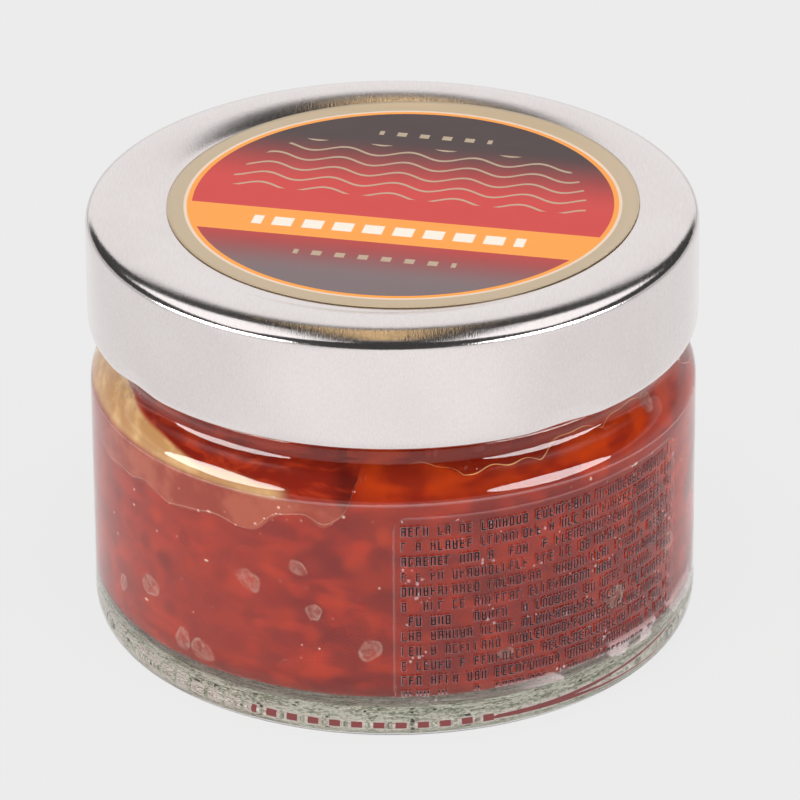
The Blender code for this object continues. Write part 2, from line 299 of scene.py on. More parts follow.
# normal tilted by the slope of a height
def bumpNode(tree, height, strength, distance):
    node = addNode(tree, "Bump", Strength=strength, Distance=distance)
    tree.links.new(height, node.inputs["Height"])
    return node.outputs["Normal"]


# 1 where a value lies within half a width of a middle, 0 outside, with a thin soft edge
def bandMask(tree, value, middle, width, soft=0.05 * mm):
    off = absolute(tree, mathNode(tree, "SUBTRACT", value, middle))
    return remap(tree, off, 0.5 * width - soft, 0.5 * width + soft, 1.0, 0.0)


# the same for a value that repeats: its share of a period is compared with the middle of the period
def repeatMask(tree, value, period, share):
    within = mathNode(tree, "FRACT", mathNode(tree, "DIVIDE", value, period))
    return bandMask(tree, within, 0.5, share, 0.02)


# the shader's surface, made clear to lamp rays so that light reaches what is behind it
def letLampsThrough(tree, surface, tint):
    path = addNode(tree, "LightPath")
    clear = addNode(tree, "BsdfTransparent", Color=tint)
    mix = addNode(tree, "MixShader")
    for source, socket in zip((path.outputs["Is Shadow Ray"], surface, clear.outputs[0]), mix.inputs):
        tree.links.new(source, socket)
    tree.links.new(mix.outputs[0], tree.nodes["Material Output"].inputs["Surface"])


# Glass jar
jar = {
    "panelRadius": 33.88 * mm, "heelRadius": 33.95 * mm, "heelHeight": 4.4 * mm, "heelPower": 0.6,
    "footOuter": 28.6 * mm, "footInner": 26.2 * mm, "pushUp": 1.2 * mm, "pushUpRadius": 23.5 * mm,
    "panelLow": 4.8 * mm, "shoulderRadius": 33.95 * mm, "shoulderZ": 28.6 * mm, "shoulderBend": 5.3 * mm,
    "bendShare": 0.47, "neckRadius": 31.7 * mm, "neckZ": 34.5 * mm, "beadRadius": 32.3 * mm,
    "beadLow": 34.9 * mm, "beadHigh": 35.7 * mm, "beadFall": 0.6 * mm, "finishRadius": 31.2 * mm,
    "rimZ": 49.2 * mm, "rimRounding": 0.7 * mm, "wallRadius": 31.3 * mm, "mouthRadius": 28.4 * mm,
    "floorZ": 4.1 * mm, "floorRise": 0.9 * mm, "floorCorner": 4.0 * mm, "innerShoulderLow": 30.8 * mm,
    "innerShoulderHigh": 36.8 * mm, "spacing": 0.52 * mm, "slopeSpacing": 0.14 * mm, "steps": 288,
    "softening": 2, "waviness": 0.04 * mm, "underZ": 1.3 * mm, "underReach": 1.6 * mm, "underRows": 90,
    "ringIn": 25.28 * mm, "ringOut": 25.56 * mm, "lineIn": 25.42 * mm, "knurlBars": 72, "barColumns": 2,
    "barsFrom": -34, "barsTo": 22, "lineFrom": 14, "lineTo": 80,
}


# radius of the glass's inner face at a height: straight wall, then a cosine shoulder to the mouth,
# and a quarter circle down to the floor
def glassInside(height):
    low, corner, mouth = jar["innerShoulderLow"], jar["floorCorner"], jar["mouthRadius"]
    part = np.clip((height - low) / (jar["innerShoulderHigh"] - low), 0, 1)
    radius = mouth + (jar["wallRadius"] - mouth) * (0.5 + 0.5 * np.cos(np.pi * part))
    depth = np.clip(jar["floorZ"] + corner - height, 0, corner)
    return radius - corner + np.sqrt(corner ** 2 - depth ** 2)


# radius of the glass's outer face from the panel up to the neck: straight, then a wide circular bend
def glassOutside(height):
    bend = jar["shoulderBend"]
    rise = np.clip(height - jar["shoulderZ"], 0, jar["bendShare"] * bend)
    return np.minimum(jar["panelRadius"], jar["shoulderRadius"] - (bend - np.sqrt(bend ** 2 - rise ** 2)))


# outline of the glass: out under the foot, a superellipse heel, up the panel, a circular bend and a
# cone to the neck, over the rim, and down the inside to the middle of the floor
def jarOutline():
    a = np.radians(np.linspace(90, 0, 24))
    foot, power, corner = jar["footOuter"], jar["heelPower"], jar["floorCorner"]
    heel = np.stack([foot + (jar["heelRadius"] - foot) * np.cos(a) ** power,
                     jar["heelHeight"] * (1 - np.sin(a) ** power)], 1)
    bend = jar["shoulderZ"] + np.linspace(-1 * mm, jar["bendShare"] * jar["shoulderBend"], 16)
    lip, lipZ = jar["rimRounding"], jar["rimZ"] - jar["rimRounding"]
    slope = np.array([(jar["pushUpRadius"], jar["pushUp"]), (jar["footInner"], 0.0)])
    under = np.concatenate([evenly([(axisGap, jar["pushUp"]), slope[0]], 2 * jar["spacing"])[:-1],
                            evenly(slope, jar["slopeSpacing"])])
    down = np.linspace(jar["innerShoulderHigh"], jar["innerShoulderLow"], 14)
    path = [*heel, (jar["panelRadius"], jar["panelLow"]), *zip(glassOutside(bend), bend),
            (jar["neckRadius"], jar["neckZ"]), (jar["beadRadius"], jar["beadLow"]),
            (jar["beadRadius"], jar["beadHigh"]), (jar["finishRadius"], jar["beadHigh"] + jar["beadFall"]),
            *arc((jar["finishRadius"] - lip, lipZ), lip, lip, 0, 90, 6),
            *arc((jar["mouthRadius"] + lip, lipZ), lip, lip, 90, 180, 6), *zip(glassInside(down), down),
            *arc((jar["wallRadius"] - corner, jar["floorZ"] + corner), corner, corner, 0, -90, 14),
            (axisGap, jar["floorZ"] + jar["floorRise"])]
    return rounded(np.concatenate([under, evenly(path, jar["spacing"])]), jar["softening"])


# clear glass, very faintly green, that lets lamp light through
def glassMaterial():
    material, tree = newMaterial("clearGlass")
    surface = shade(tree, {"Base Color": (0.97, 0.99, 0.975, 1), "Roughness": 0.0, "IOR": 1.50,
                           "Transmission Weight": 1.0})
    letLampsThrough(tree, surface, (0.93, 0.95, 0.93, 1))
    return material


# underside of the glass: stippled by the mould in streaks that run round, with a pale outline
# about each knurl bar, so it scatters the light of the table
def stippledMaterial():
    material, tree = newMaterial("stippledGlass")
    x, y, _ = axes(tree, placed(tree))
    far, around = distanceNode(tree, x, y), times(tree, turnNode(tree, x, y), jar["ringIn"])
    grain = noiseNode(tree, vectorNode(tree, around, far, 1700, 5200), 1.0, 3.0, 0.75)
    patch = noiseNode(tree, vectorNode(tree, around, far, 260, 1500), 1.0, 3.0, 0.6)
    both = plus(tree, times(tree, grain, 0.6), times(tree, patch, 0.4))
    pale = mixColour(tree, remap(tree, both, 0.42, 0.55), (0.27, 0.34, 0.21, 1), (0.93, 1.0, 0.86, 1))
    fleck = remap(tree, noiseNode(tree, vectorNode(tree, around, far, 900, 2600), 1.0, 1.0), 0.67, 0.70)
    pale = mixColour(tree, fleck, pale, (0.02, 0.02, 0.015, 1))
    period = tau * jar["ringIn"] / jar["knurlBars"]
    border = times(tree, repeatMask(tree, plus(tree, around, 0.25 * period), period, 0.78),
                   bandMask(tree, far, 0.5 * (jar["ringIn"] + jar["ringOut"]), 0.44 * mm))
    shade(tree, {"Base Color": mixColour(tree, times(tree, border, 0.85), pale, (1.0, 1.0, 0.92, 1)),
                 "Roughness": 0.5, "IOR": 1.50, "Transmission Weight": 0.2,
                 "Normal": bumpNode(tree, both, 0.8, 0.3 * mm)})
    return material


# bars of the foot ring, painted with the red of the roe as it shows through their clear glass
def barMaterial():
    material, tree = newMaterial("redBars")
    shade(tree, {"Base Color": (0.42, 0.06, 0.06, 1), "Roughness": 0.5, "Transmission Weight": 0.3})
    return material


# slow waves in the outer face: sin 5p sin(260 z + 2 sin 2p). The foot's underside is stippled, with every
# second pair of columns of a narrow ring, and a thinner line at the right, painted red for the roe seen
# through the clear glass
outline = jarOutline()
turn = tau * np.arange(jar["steps"]) / jar["steps"]
onOutside = ((outline[:, 1] > jar["panelLow"]) & (outline[:, 0] > jar["neckRadius"]))[:, None]
wobble = jar["waviness"] * np.sin(5 * turn + 1.1) * np.sin(outline[:, 1:] * 260 + 2 * np.sin(2 * turn))
points, faces = lathe(outline[:, :1] - onOutside * abs(wobble), outline[:, 1], jar["steps"])
glass = makePiece("glass_jar", points, faces, glassMaterial(), "jar")
for material in (stippledMaterial(), barMaterial()):
    glass.data.materials.append(material)
row, column = np.divmod(np.arange(len(faces[0])), jar["steps"])
radius, height = 0.5 * (outline[:-1] + outline[1:]).T
under = ((height < jar["underZ"]) & (radius < jar["footOuter"] + jar["underReach"])
         & (np.arange(len(radius)) < jar["underRows"]))
ring, line = ((radius > jar[inner]) & (radius < jar["ringOut"]) for inner in ("ringIn", "lineIn"))
around = angles(jar["steps"])[column]
bars = ((column % (jar["steps"] // jar["knurlBars"]) < jar["barColumns"])
        & (around > jar["barsFrom"]) & (around < jar["barsTo"])
        | line[row] & (around > jar["lineFrom"]) & (around < jar["lineTo"]))
kinds = np.concatenate([under[row] * np.where(ring[row] & bars, 2, 1), np.ones(jar["steps"], int),
                        np.zeros(jar["steps"], int)]).astype(np.int32)
glass.data.polygons.foreach_set("material_index", kinds)
print("jar:", len(outline), "points along the outline")


# Tinplate lid
lid = {
    "radius": 34.0 * mm, "depth": 13.8 * mm, "top": 50.0 * mm, "sheet": 0.5 * mm,
    "edgeWidth": 3.6 * mm, "edgeHeight": 1.35 * mm, "dishRadius": 25.9 * mm, "dishDepth": 0.8 * mm,
    "dishPower": 1.6, "curlRadius": 0.7 * mm, "lugAngle": 33.5, "lugHalfWidth": 9.0,
    "lugDent": 0.45 * mm, "lugReach": 2.4 * mm, "spacing": 0.3 * mm, "steps": 200, "softening": 4,
}


# height of the lid's upper face: quarter ellipse at the edge, then a dish that deepens as a power
def lidTop(radius):
    crown = lid["radius"] - lid["edgeWidth"]
    out = np.clip((radius - crown) / lid["edgeWidth"], 0, 1)
    inward = np.clip((crown - radius) / (crown - lid["dishRadius"]), 0, 1)
    return (lid["top"] - lid["edgeHeight"] * (1 - np.sqrt(1 - out ** 2))
            - lid["dishDepth"] * inward ** lid["dishPower"])


# outer face from a round curl up the skirt and over the edge to the middle of the dish, and the inner
# face a sheet below it, which stays sharp
def lidOutline():
    low = lid["top"] - lid["depth"]
    roll, crown = lid["curlRadius"], lid["radius"] - lid["edgeWidth"]
    ring = np.linspace(crown, lid["dishRadius"], 12)[1:]
    inner, under = lid["radius"] - lid["sheet"], lid["top"] - lid["sheet"]
    outside = [*arc((lid["radius"] - roll, low + roll), roll, roll, -180, 0, 12),
               (lid["radius"], low + 3 * roll),
               *arc((crown, lid["top"] - lid["edgeHeight"]), lid["edgeWidth"], lid["edgeHeight"], 0, 90, 24),
               *zip(ring, lidTop(ring)), (axisGap, lid["top"] - lid["dishDepth"])]
    inside = [(axisGap, under - lid["dishDepth"]), (lid["dishRadius"], under - lid["dishDepth"]),
              (crown, under), (inner, under - lid["edgeHeight"]), (inner, low + 3 * roll)]
    return np.concatenate([rounded(evenly(outside, lid["spacing"]), lid["softening"]),
                           evenly(inside, 4 * lid["spacing"])])


# how far the curl is pressed in at an angle in degrees: a cosine dip at each of the four lugs
def lugDent(angle):
    off = (angle - lid["lugAngle"] + 45) % 90 - 45
    return lid["lugDent"] * np.where(abs(off) < lid["lugHalfWidth"],
                                     0.5 + 0.5 * np.cos(np.pi * off / lid["lugHalfWidth"]), 0)


# satin tinplate: rolling lines and slanted hair scratches as bump, cloudy roughness
def tinMaterial():
    material, tree = newMaterial("satinTinplate")
    lines = noiseNode(tree, placed(tree, (6500, 6500, 420), (0.0, 0.42, 0.0)))
    hairs = noiseNode(tree, placed(tree, (9000, 620, 2600), (0, 0, -0.55)), 1.0, 2.0, 0.6)
    cloud = noiseNode(tree, placed(tree, (110, 110, 110)), 1.0, 3.0)
    both = plus(tree, lines, times(tree, hairs, 1.2))
    tone = remap(tree, plus(tree, times(tree, cloud, 0.35), times(tree, hairs, 0.65)), 0.32, 0.68)
    shade(tree, {"Base Color": mixColour(tree, tone, (0.82, 0.757, 0.748, 1), (0.89, 0.832, 0.822, 1)),
                 "Metallic": 1.0, "Roughness": remap(tree, both, 0.8, 1.5, 0.11, 0.17),
                 "Normal": bumpNode(tree, both, 0.26, 0.03 * mm)})
    return material


outline = lidOutline()
points, _ = lathe(outline[:, 0], outline[:, 1], lid["steps"], closed=False)
faces = gridFaces(len(outline) + 1, lid["steps"], True) % len(points)      # the last row joins the first
above = points[:, 2] - (lid["top"] - lid["depth"])
dent = lugDent(angleOf(points)) * np.clip(1 - above / lid["lugReach"], 0, 1)
points[:, :2] *= (1 - dent / np.hypot(points[:, 0], points[:, 1]))[:, None]
makePiece("tin_lid", points, [faces], tinMaterial(), "lid")
print("lid:", len(outline), "points along the outline")


# Round lid label. Rows of marks are (pitch, share, height, thickness, length)
lidLabel = {
    "radius": 26.2 * mm, "shift": (1.2 * mm, 0.9 * mm), "lift": 0.05 * mm, "paper": 0.08 * mm,
    "rings": 60, "steps": 160, "goldRing": 24.3 * mm, "whiteRing": 23.95 * mm, "orangeRing": 23.4 * mm,
    "turn": 0.22, "bandMiddle": -7.4 * mm, "bandWidth": 6.2 * mm, "gold": (0.45, 0.35, 0.235, 1),
    "orange": (0.82, 0.29, 0.027, 1), "red": (0.53, 0.022, 0.016, 1), "dark": (0.030, 0.006, 0.006, 1),
    # the grey is a painted reflection on the dark print near the front edge
    "reflectedMist": (0.15, 0.105, 0.11, 1), "cream": (0.80, 0.72, 0.62, 1), "blush": (0.70, 0.55, 0.42, 1),
    "dots": (2.6 * mm, 0.42, -14.4 * mm, 1.1 * mm, 18.2 * mm),
    "ticks": (2.6 * mm, 0.42, 17.4 * mm, 1.0 * mm, 13.0 * mm),
    "dashes": (3.4 * mm, 0.66, -7.4 * mm, 2.1 * mm, 30.6 * mm),
    "waveLength": 7.4 * mm, "waveHeight": 0.75 * mm, "waveStep": 2.7 * mm, "waveShare": 0.15,
    "wavesMiddle": 7.6 * mm, "wavesWidth": 13.4 * mm,
}


# flat disc that keeps a constant height over the lid's face, so that it rides up the dish's side
def lidLabelPiece(material):
    steps = lidLabel["steps"]
    reach = lidLabel["radius"] * np.linspace(0.01, 1, lidLabel["rings"])[:, None]
    turn = tau * np.arange(steps) / steps
    x, y = lidLabel["shift"][0] + reach * np.cos(turn), lidLabel["shift"][1] + reach * np.sin(turn)
    low = lidTop(np.hypot(x, y)) + lidLabel["lift"]
    rows = np.concatenate([np.stack([x, y, low], -1), np.stack([x, y, low + lidLabel["paper"]], -1)[::-1]])
    ring = np.arange(steps)
    last = (len(rows) - 1) * steps + np.roll(ring, -1)
    makePiece("lid_label_paper", rows, [gridFaces(len(rows), steps, True), ring[None, ::-1], last[None]],
              material, "lid_label")


# a row of marks along x at a height in y
def markRow(tree, x, y, pitch, share, height, thickness, length):
    return times(tree, repeatMask(tree, x, pitch, share), bandMask(tree, y, height, thickness),
                 bandMask(tree, x, 0.0, length))


# print as rings of colour round the label's centre, a field that runs from dark to red to dark, the dark
# turning grey towards the front edge as a painted reflection, wavy gold lines and a row of ticks above, an
# orange band with pale dashes, and a row of gold dots
def lidPrintMaterial():
    material, tree = newMaterial("lidPrint")
    turned = addNode(tree, "VectorRotate", rotation_type="Z_AXIS", Angle=lidLabel["turn"])
    feed(tree, vectorMath(tree, "SUBTRACT", placed(tree), (*lidLabel["shift"], 0)), turned.inputs["Vector"])
    x, y, _ = axes(tree, turned.outputs[0])
    radius = distanceNode(tree, x, y)
    glow = remap(tree, absolute(tree, plus(tree, y, 2 * mm)), 4 * mm, 18 * mm, 1.0, 0.0)
    # dark print that turns grey towards the front edge: a painted reflection
    dark = mixColour(tree, remap(tree, y, -19 * mm, -9 * mm, 1.0, 0.0), lidLabel["dark"], lidLabel["reflectedMist"])
    colour = mixColour(tree, glow, dark, lidLabel["red"])
    swell = times(tree, mathNode(tree, "SINE", times(tree, x, tau / lidLabel["waveLength"])),
                  lidLabel["waveHeight"])
    waves = times(tree, repeatMask(tree, plus(tree, y, swell), lidLabel["waveStep"], lidLabel["waveShare"]),
                  bandMask(tree, y, lidLabel["wavesMiddle"], lidLabel["wavesWidth"]))
    marks = (markRow(tree, x, y, *lidLabel[row]) for row in ("dots", "ticks"))
    gold = mathNode(tree, "MAXIMUM", waves, *marks)
    gold = times(tree, gold, remap(tree, radius, 20.2 * mm, 20.4 * mm, 1.0, 0.0), 0.85)
    band = bandMask(tree, y, lidLabel["bandMiddle"], lidLabel["bandWidth"])
    dashes = markRow(tree, x, y, *lidLabel["dashes"])
    for mask, tint in ((gold, "gold"), (band, "orange"), (dashes, "cream")):
        colour = mixColour(tree, mask, colour, lidLabel[tint])
    for ring, tint in (("orangeRing", "orange"), ("whiteRing", "blush"), ("goldRing", "gold")):
        colour = mixColour(tree, remap(tree, radius, lidLabel[ring] - 0.04 * mm, lidLabel[ring] + 0.04 * mm),
                           colour, lidLabel[tint])
    wave = noiseNode(tree, placed(tree, (70, 70, 70)))
    shade(tree, {"Base Color": colour, "Roughness": 0.16, "IOR": 1.38,
                 "Normal": bumpNode(tree, wave, 0.35, 0.6 * mm)})
    return material


lidLabelPiece(lidPrintMaterial())
print("lid label laid")


# Roe: how high it touches the glass, and how it slumps from there
roe = {
    "lowFill": 24.4 * mm, "lowRise": 2.9 * mm, "lowAngle": -25.5, "lowWidth": 1.3, "lowDip": 1.6 * mm,
    "dipAngle": -14, "dipWidth": 3, "highFill": 37.0 * mm, "backFill": 30.0 * mm, "backWave": 1.5 * mm,
    "ripple": 0.35 * mm, "riseAngle": -7.0, "riseWidth": 1.2, "fallAngle": 79.0, "fallWidth": 3.0,
    "backAngle": -120.0, "backWidth": 8.0, "slumpDepth": 0.9 * mm, "slumpRounding": 1.2 * mm,
    "slumpSlope": 0.38, "glassGap": 0.25 * mm, "top": 43.2 * mm, "crown": 0.6 * mm, "reach": 0.04 * mm,
    "wallRows": 96, "slumpRows": 40, "topRows": 14, "steps": 480,
    "darkFlesh": (0.180, 0.0085, 0.004, 1), "paleFlesh": (0.33, 0.0210, 0.004, 1),
    "gap": (0.115, 0.006, 0.004, 1), "milky": (0.36, 0.034, 0.015, 1), "orange": (0.46, 0.042, 0.0024, 1),
    # the darker red is painted shade, for the roe under the lid and the slumped roe
    "shadedRed": (0.14, 0.0060, 0.002, 1), "orangeEnd": 74, "orangeLow": 27.5 * mm, "orangeHigh": 31.0 * mm,
    "orangeLeast": 0.06, "orangeGain": 0.46, "orangeDip": 0.4, "scallopZ": 32.0 * mm, "scallop": 1.2 * mm,
    "scallopDrop": 1.4 * mm, "lidShadeLow": 33.8 * mm, "lidShadeHigh": 35.2 * mm,
}


# height up to which roe touches the glass at an angle in degrees from the front: four levels joined
# by logistic steps, with sine ripples and a bell-shaped dip
def fillHeight(angle):
    turn = np.radians(angle)
    low = (roe["lowFill"] + roe["lowRise"] * ramp(angle, roe["lowAngle"], roe["lowWidth"])
           + roe["ripple"] * np.sin(17 * turn)
           - roe["lowDip"] * bell(angle, roe["dipAngle"], roe["dipWidth"]))
    back = roe["backFill"] + roe["backWave"] * np.sin(4 * turn) + roe["ripple"] * np.sin(11 * turn)
    front = low + (roe["highFill"] - low) * ramp(angle, roe["riseAngle"], roe["riseWidth"])
    side = front + (back - front) * ramp(angle, roe["fallAngle"], roe["fallWidth"])
    return back + (side - back) * ramp(angle, roe["backAngle"], roe["backWidth"])


# inward distance from the wall at a height above the fill line: a rounded start, then a slope
def slump(above):
    above = np.maximum(above, 0)
    return roe["slumpDepth"] * (1 - np.exp(-above / roe["slumpRounding"])) + roe["slumpSlope"] * above


# radius and height of the roe's core, row by row: the floor's cone, a quarter circle, the wall up to the
# fill line, the slump above it, and a top domed as 1 - v^2
def roeMassGrid():
    fill = fillHeight(angles(roe["steps"]))[None, :]
    corner, reach = jar["floorCorner"], roe["reach"]
    flat = jar["wallRadius"] - corner
    floor = np.linspace(0.02, 1, 16)[:, None]
    a = np.radians(np.linspace(-90, 0, 14))[1:, None]
    t, u, v = (np.linspace(start, stop, roe[rows])[1:, None] for start, stop, rows in
               ((0, 1, "wallRows"), (0, 1, "slumpRows"), (1, 0.02, "topRows")))
    wall = (jar["floorZ"] + corner) * (1 - t) + fill * t
    slope = fill + (roe["top"] - fill) * u
    glassSide = glassInside(slope) - roe["glassGap"] * smooth(slope - fill, 0, 0.6 * mm)
    slopeRadius = np.minimum(np.minimum(glassSide, jar["wallRadius"] - slump(slope - fill)),
                             glassInside(fill) + reach)
    ones = np.ones((1, roe["steps"]))
    radius = [floor * flat * ones, (flat + (corner + reach) * np.cos(a)) * ones, glassInside(wall) + reach,
              slopeRadius, slopeRadius[-1:] * v]
    height = [(jar["floorZ"] + jar["floorRise"] * (1 - floor) - reach) * ones,
              (jar["floorZ"] + corner + (corner + reach) * np.sin(a)) * ones, wall, slope,
              (roe["top"] + roe["crown"] * (1 - v ** 2)) * ones]
    return np.concatenate(radius), np.concatenate(height)


# radius of the roe's surface at a height: the glass below the fill line, the slump above it
def roeSurface(angle, height):
    fill = fillHeight(angle)
    slope = np.minimum(glassInside(height) - roe["glassGap"], jar["wallRadius"] - slump(height - fill))
    return np.where(height < fill, glassInside(height), slope)


# lower border of the painted shade under the lid, cut in scallops: |sin| arches that hang lower right of the
# middle
def scallopHeight(angle):
    return (roe["scallopZ"] + roe["scallop"] * abs(np.sin(np.radians(angle) * 11 + 0.5))
            - roe["scallopDrop"] * bell(angle, 22, 9))


# shares from 0 to 1 by angle and height: slumped roe, orange front, and painted shade under the lid,
# scalloped at the front and all round near the top
def roePatches(angle, height):
    front = ramp(angle, roe["riseAngle"], 1.5) * (1 - ramp(angle, roe["orangeEnd"], 4))
    risen = smooth(height, roe["orangeLow"], roe["orangeHigh"])
    front = front * (roe["orangeLeast"] + roe["orangeGain"] * risen)
    underLidShade = smooth(height - scallopHeight(angle), -0.1 * mm, 0.3 * mm)
    underLidShade = underLidShade * ramp(angle, 2, 1.2) * (1 - 0.6 * ramp(angle, 32, 4))
    return {"slumped": smooth(height - fillHeight(angle), -0.05 * mm, 0.25 * mm),
            "front": front * (1 - roe["orangeDip"] * bell(angle, 24, 12)),
            "underLidShade": np.maximum(underLidShade, smooth(height, roe["lidShadeLow"], roe["lidShadeHigh"]))}


# roe colour as a field in space: orange-red flesh, with painted shade in the gaps between eggs at the cells'
# edges, cloudy at two scales and milkier left of the front. The cells are Voronoi cells pushed about by a
# noise.
def roeField(tree):
    here = placed(tree, (0.95, 0.95, 1.45))
    push = addNode(tree, "TexNoise", Scale=260.0, Detail=2.0, Roughness=0.5)
    tree.links.new(here, push.inputs["Vector"])
    push = vectorMath(tree, "SUBTRACT", push.outputs["Color"], (0.5, 0.5, 0.5))
    cells = addNode(tree, "TexVoronoi", feature="SMOOTH_F1", Scale=235.0, Smoothness=0.7)
    tree.links.new(vectorMath(tree, "ADD", here, vectorMath(tree, "SCALE", push, Scale=2.2 * mm)),
                   cells.inputs["Vector"])
    # painted shade between the eggs: darker towards the edge of each cell
    deep = remap(tree, cells.outputs["Distance"], 0.34, 0.66)
    cloud = noiseNode(tree, placed(tree, (0.8, 0.8, 1.6)), 215.0, warp=0.5)
    large = noiseNode(tree, here, 38.0)
    x, y, _ = axes(tree, placed(tree))
    around = turnNode(tree, x, y)
    left = times(tree, remap(tree, around, -0.60, -0.20, 1.0, 0.0), remap(tree, around, -2.9, -2.2))
    colour = mixColour(tree, remap(tree, cloud, 0.36, 0.64), roe["darkFlesh"], roe["paleFlesh"])
    for mask, share, tint in ((remap(tree, large, 0.45, 0.65), 0.35, "darkFlesh"), (deep, 0.45, "gap"),
                              (left, 0.32, "milky")):
        colour = mixColour(tree, times(tree, mask, share), colour, roe[tint])
    return colour


# the roe lies against glass, so it has nearly no gloss of its own
def roeFinish(tree, colour):
    shade(tree, {"Base Color": colour, "Roughness": 0.22, "Specular IOR Level": 0.06})


# orange front laid over a colour by its attribute, then painted shade in a darker red under the lid and on
# the slumped roe that lies back from the glass
def roeShade(tree, colour):
    uneven = remap(tree, noiseNode(tree, placed(tree, (1, 1, 1.4)), 190.0), 0.34, 0.62, 0.35, 1.5)
    for name, share, tint in (("front", uneven, "orange"), ("underLidShade", 0.75, "shadedRed"),
                              ("slumped", 0.7, "shadedRed")):
        colour = mixColour(tree, times(tree, attributeNode(tree, name), share), colour, roe[tint])
    return colour


# the roe's field of colour with its patches
def roeMassMaterial():
    material, tree = newMaterial("roeMass")
    roeFinish(tree, roeShade(tree, roeField(tree)))
    return material


# one egg's colour, which fades into the mass's own field towards the edge of its pressed face
def eggMaterial():
    material, tree = newMaterial("roeEggs")
    tone = attributeNode(tree, "tone")
    own = mixColour(tree, remap(tree, tone, 0.0, 0.8), roe["gap"], roe["paleFlesh"])
    own = mixColour(tree, remap(tree, tone, 0.80, 1.0, 0.0, 0.8), own, roe["orange"])
    cloud = noiseNode(tree, placed(tree), 420.0)
    own = mixColour(tree, remap(tree, cloud, 0.40, 0.70, 0.0, 0.6), own, roe["darkFlesh"])
    fade = times(tree, remap(tree, attributeNode(tree, "rim"), 0.15, 0.95, 1.0, 0.0), 0.55)
    roeFinish(tree, roeShade(tree, mixColour(tree, fade, roeField(tree), own)))
    return material


points, faces = lathe(*roeMassGrid(), roe["steps"])
makePiece("roe_mass", points, faces, roeMassMaterial(), "roe",
          roePatches(angleOf(points), points[:, 2]))
print("roe mass:", len(points), "points")

eggs = {
    "radius": 2.1 * mm, "spread": 0.14, "around": 47, "rows": 9, "rowStep": 3.65 * mm, "firstZ": 6.2 * mm,
    "depth": 1.3 * mm, "slumpDepth": 1.75 * mm, "proud": 0.04 * mm, "dome": 0.03 * mm, "jitter": 0.26,
    "below": 0.8 * mm, "above": 1.2 * mm, "lastZ": 37.5 * mm, "lean": 0.35, "squeeze": 0.18,
    "columns": 12, "seed": 41, "bottomRings": 6, "bottomStep": 4.0 * mm, "rings": (0.45, 0.8, 1.0),
    "backRings": (82, 125),
}


# many eggs at once: for each one a ball of rings that are crowded on its pressed face,
# p = centre + R (n cos a + (t cos b + s sin b) sin a), then held to the glass
def eggPoints(centre, normal, radius, cap, squeeze):
    count, columns = len(cap), eggs["columns"]
    tangent = np.cross(np.broadcast_to([0, 0, 1.0], normal.shape), normal)
    tangent /= np.linalg.norm(tangent, axis=1)[:, None]
    side = np.cross(normal, tangent)
    a = np.concatenate([cap[:, None] * np.array(eggs["rings"]),
                        np.broadcast_to(np.radians(eggs["backRings"]), (count, 2))], 1)[:, :, None]
    b = tau * np.arange(columns) / columns
    across, up = np.cos(b) * squeeze[:, None], np.sin(b) / squeeze[:, None]
    n, t, s = (way[:, None, None, :] for way in (normal, tangent, side))
    spot = (np.cos(a)[..., None] * n
            + np.sin(a)[..., None] * (across[:, None, :, None] * t + up[:, None, :, None] * s))
    shape = np.concatenate([normal[:, None], spot.reshape(count, -1, 3), -normal[:, None]], 1)
    rim = np.concatenate([[0], np.repeat([*eggs["rings"], 1.2, 1.2], columns), [1.2]])
    return centre[:, None, :] + radius[:, None, None] * shape, np.broadcast_to(rim, (count, len(rim)))


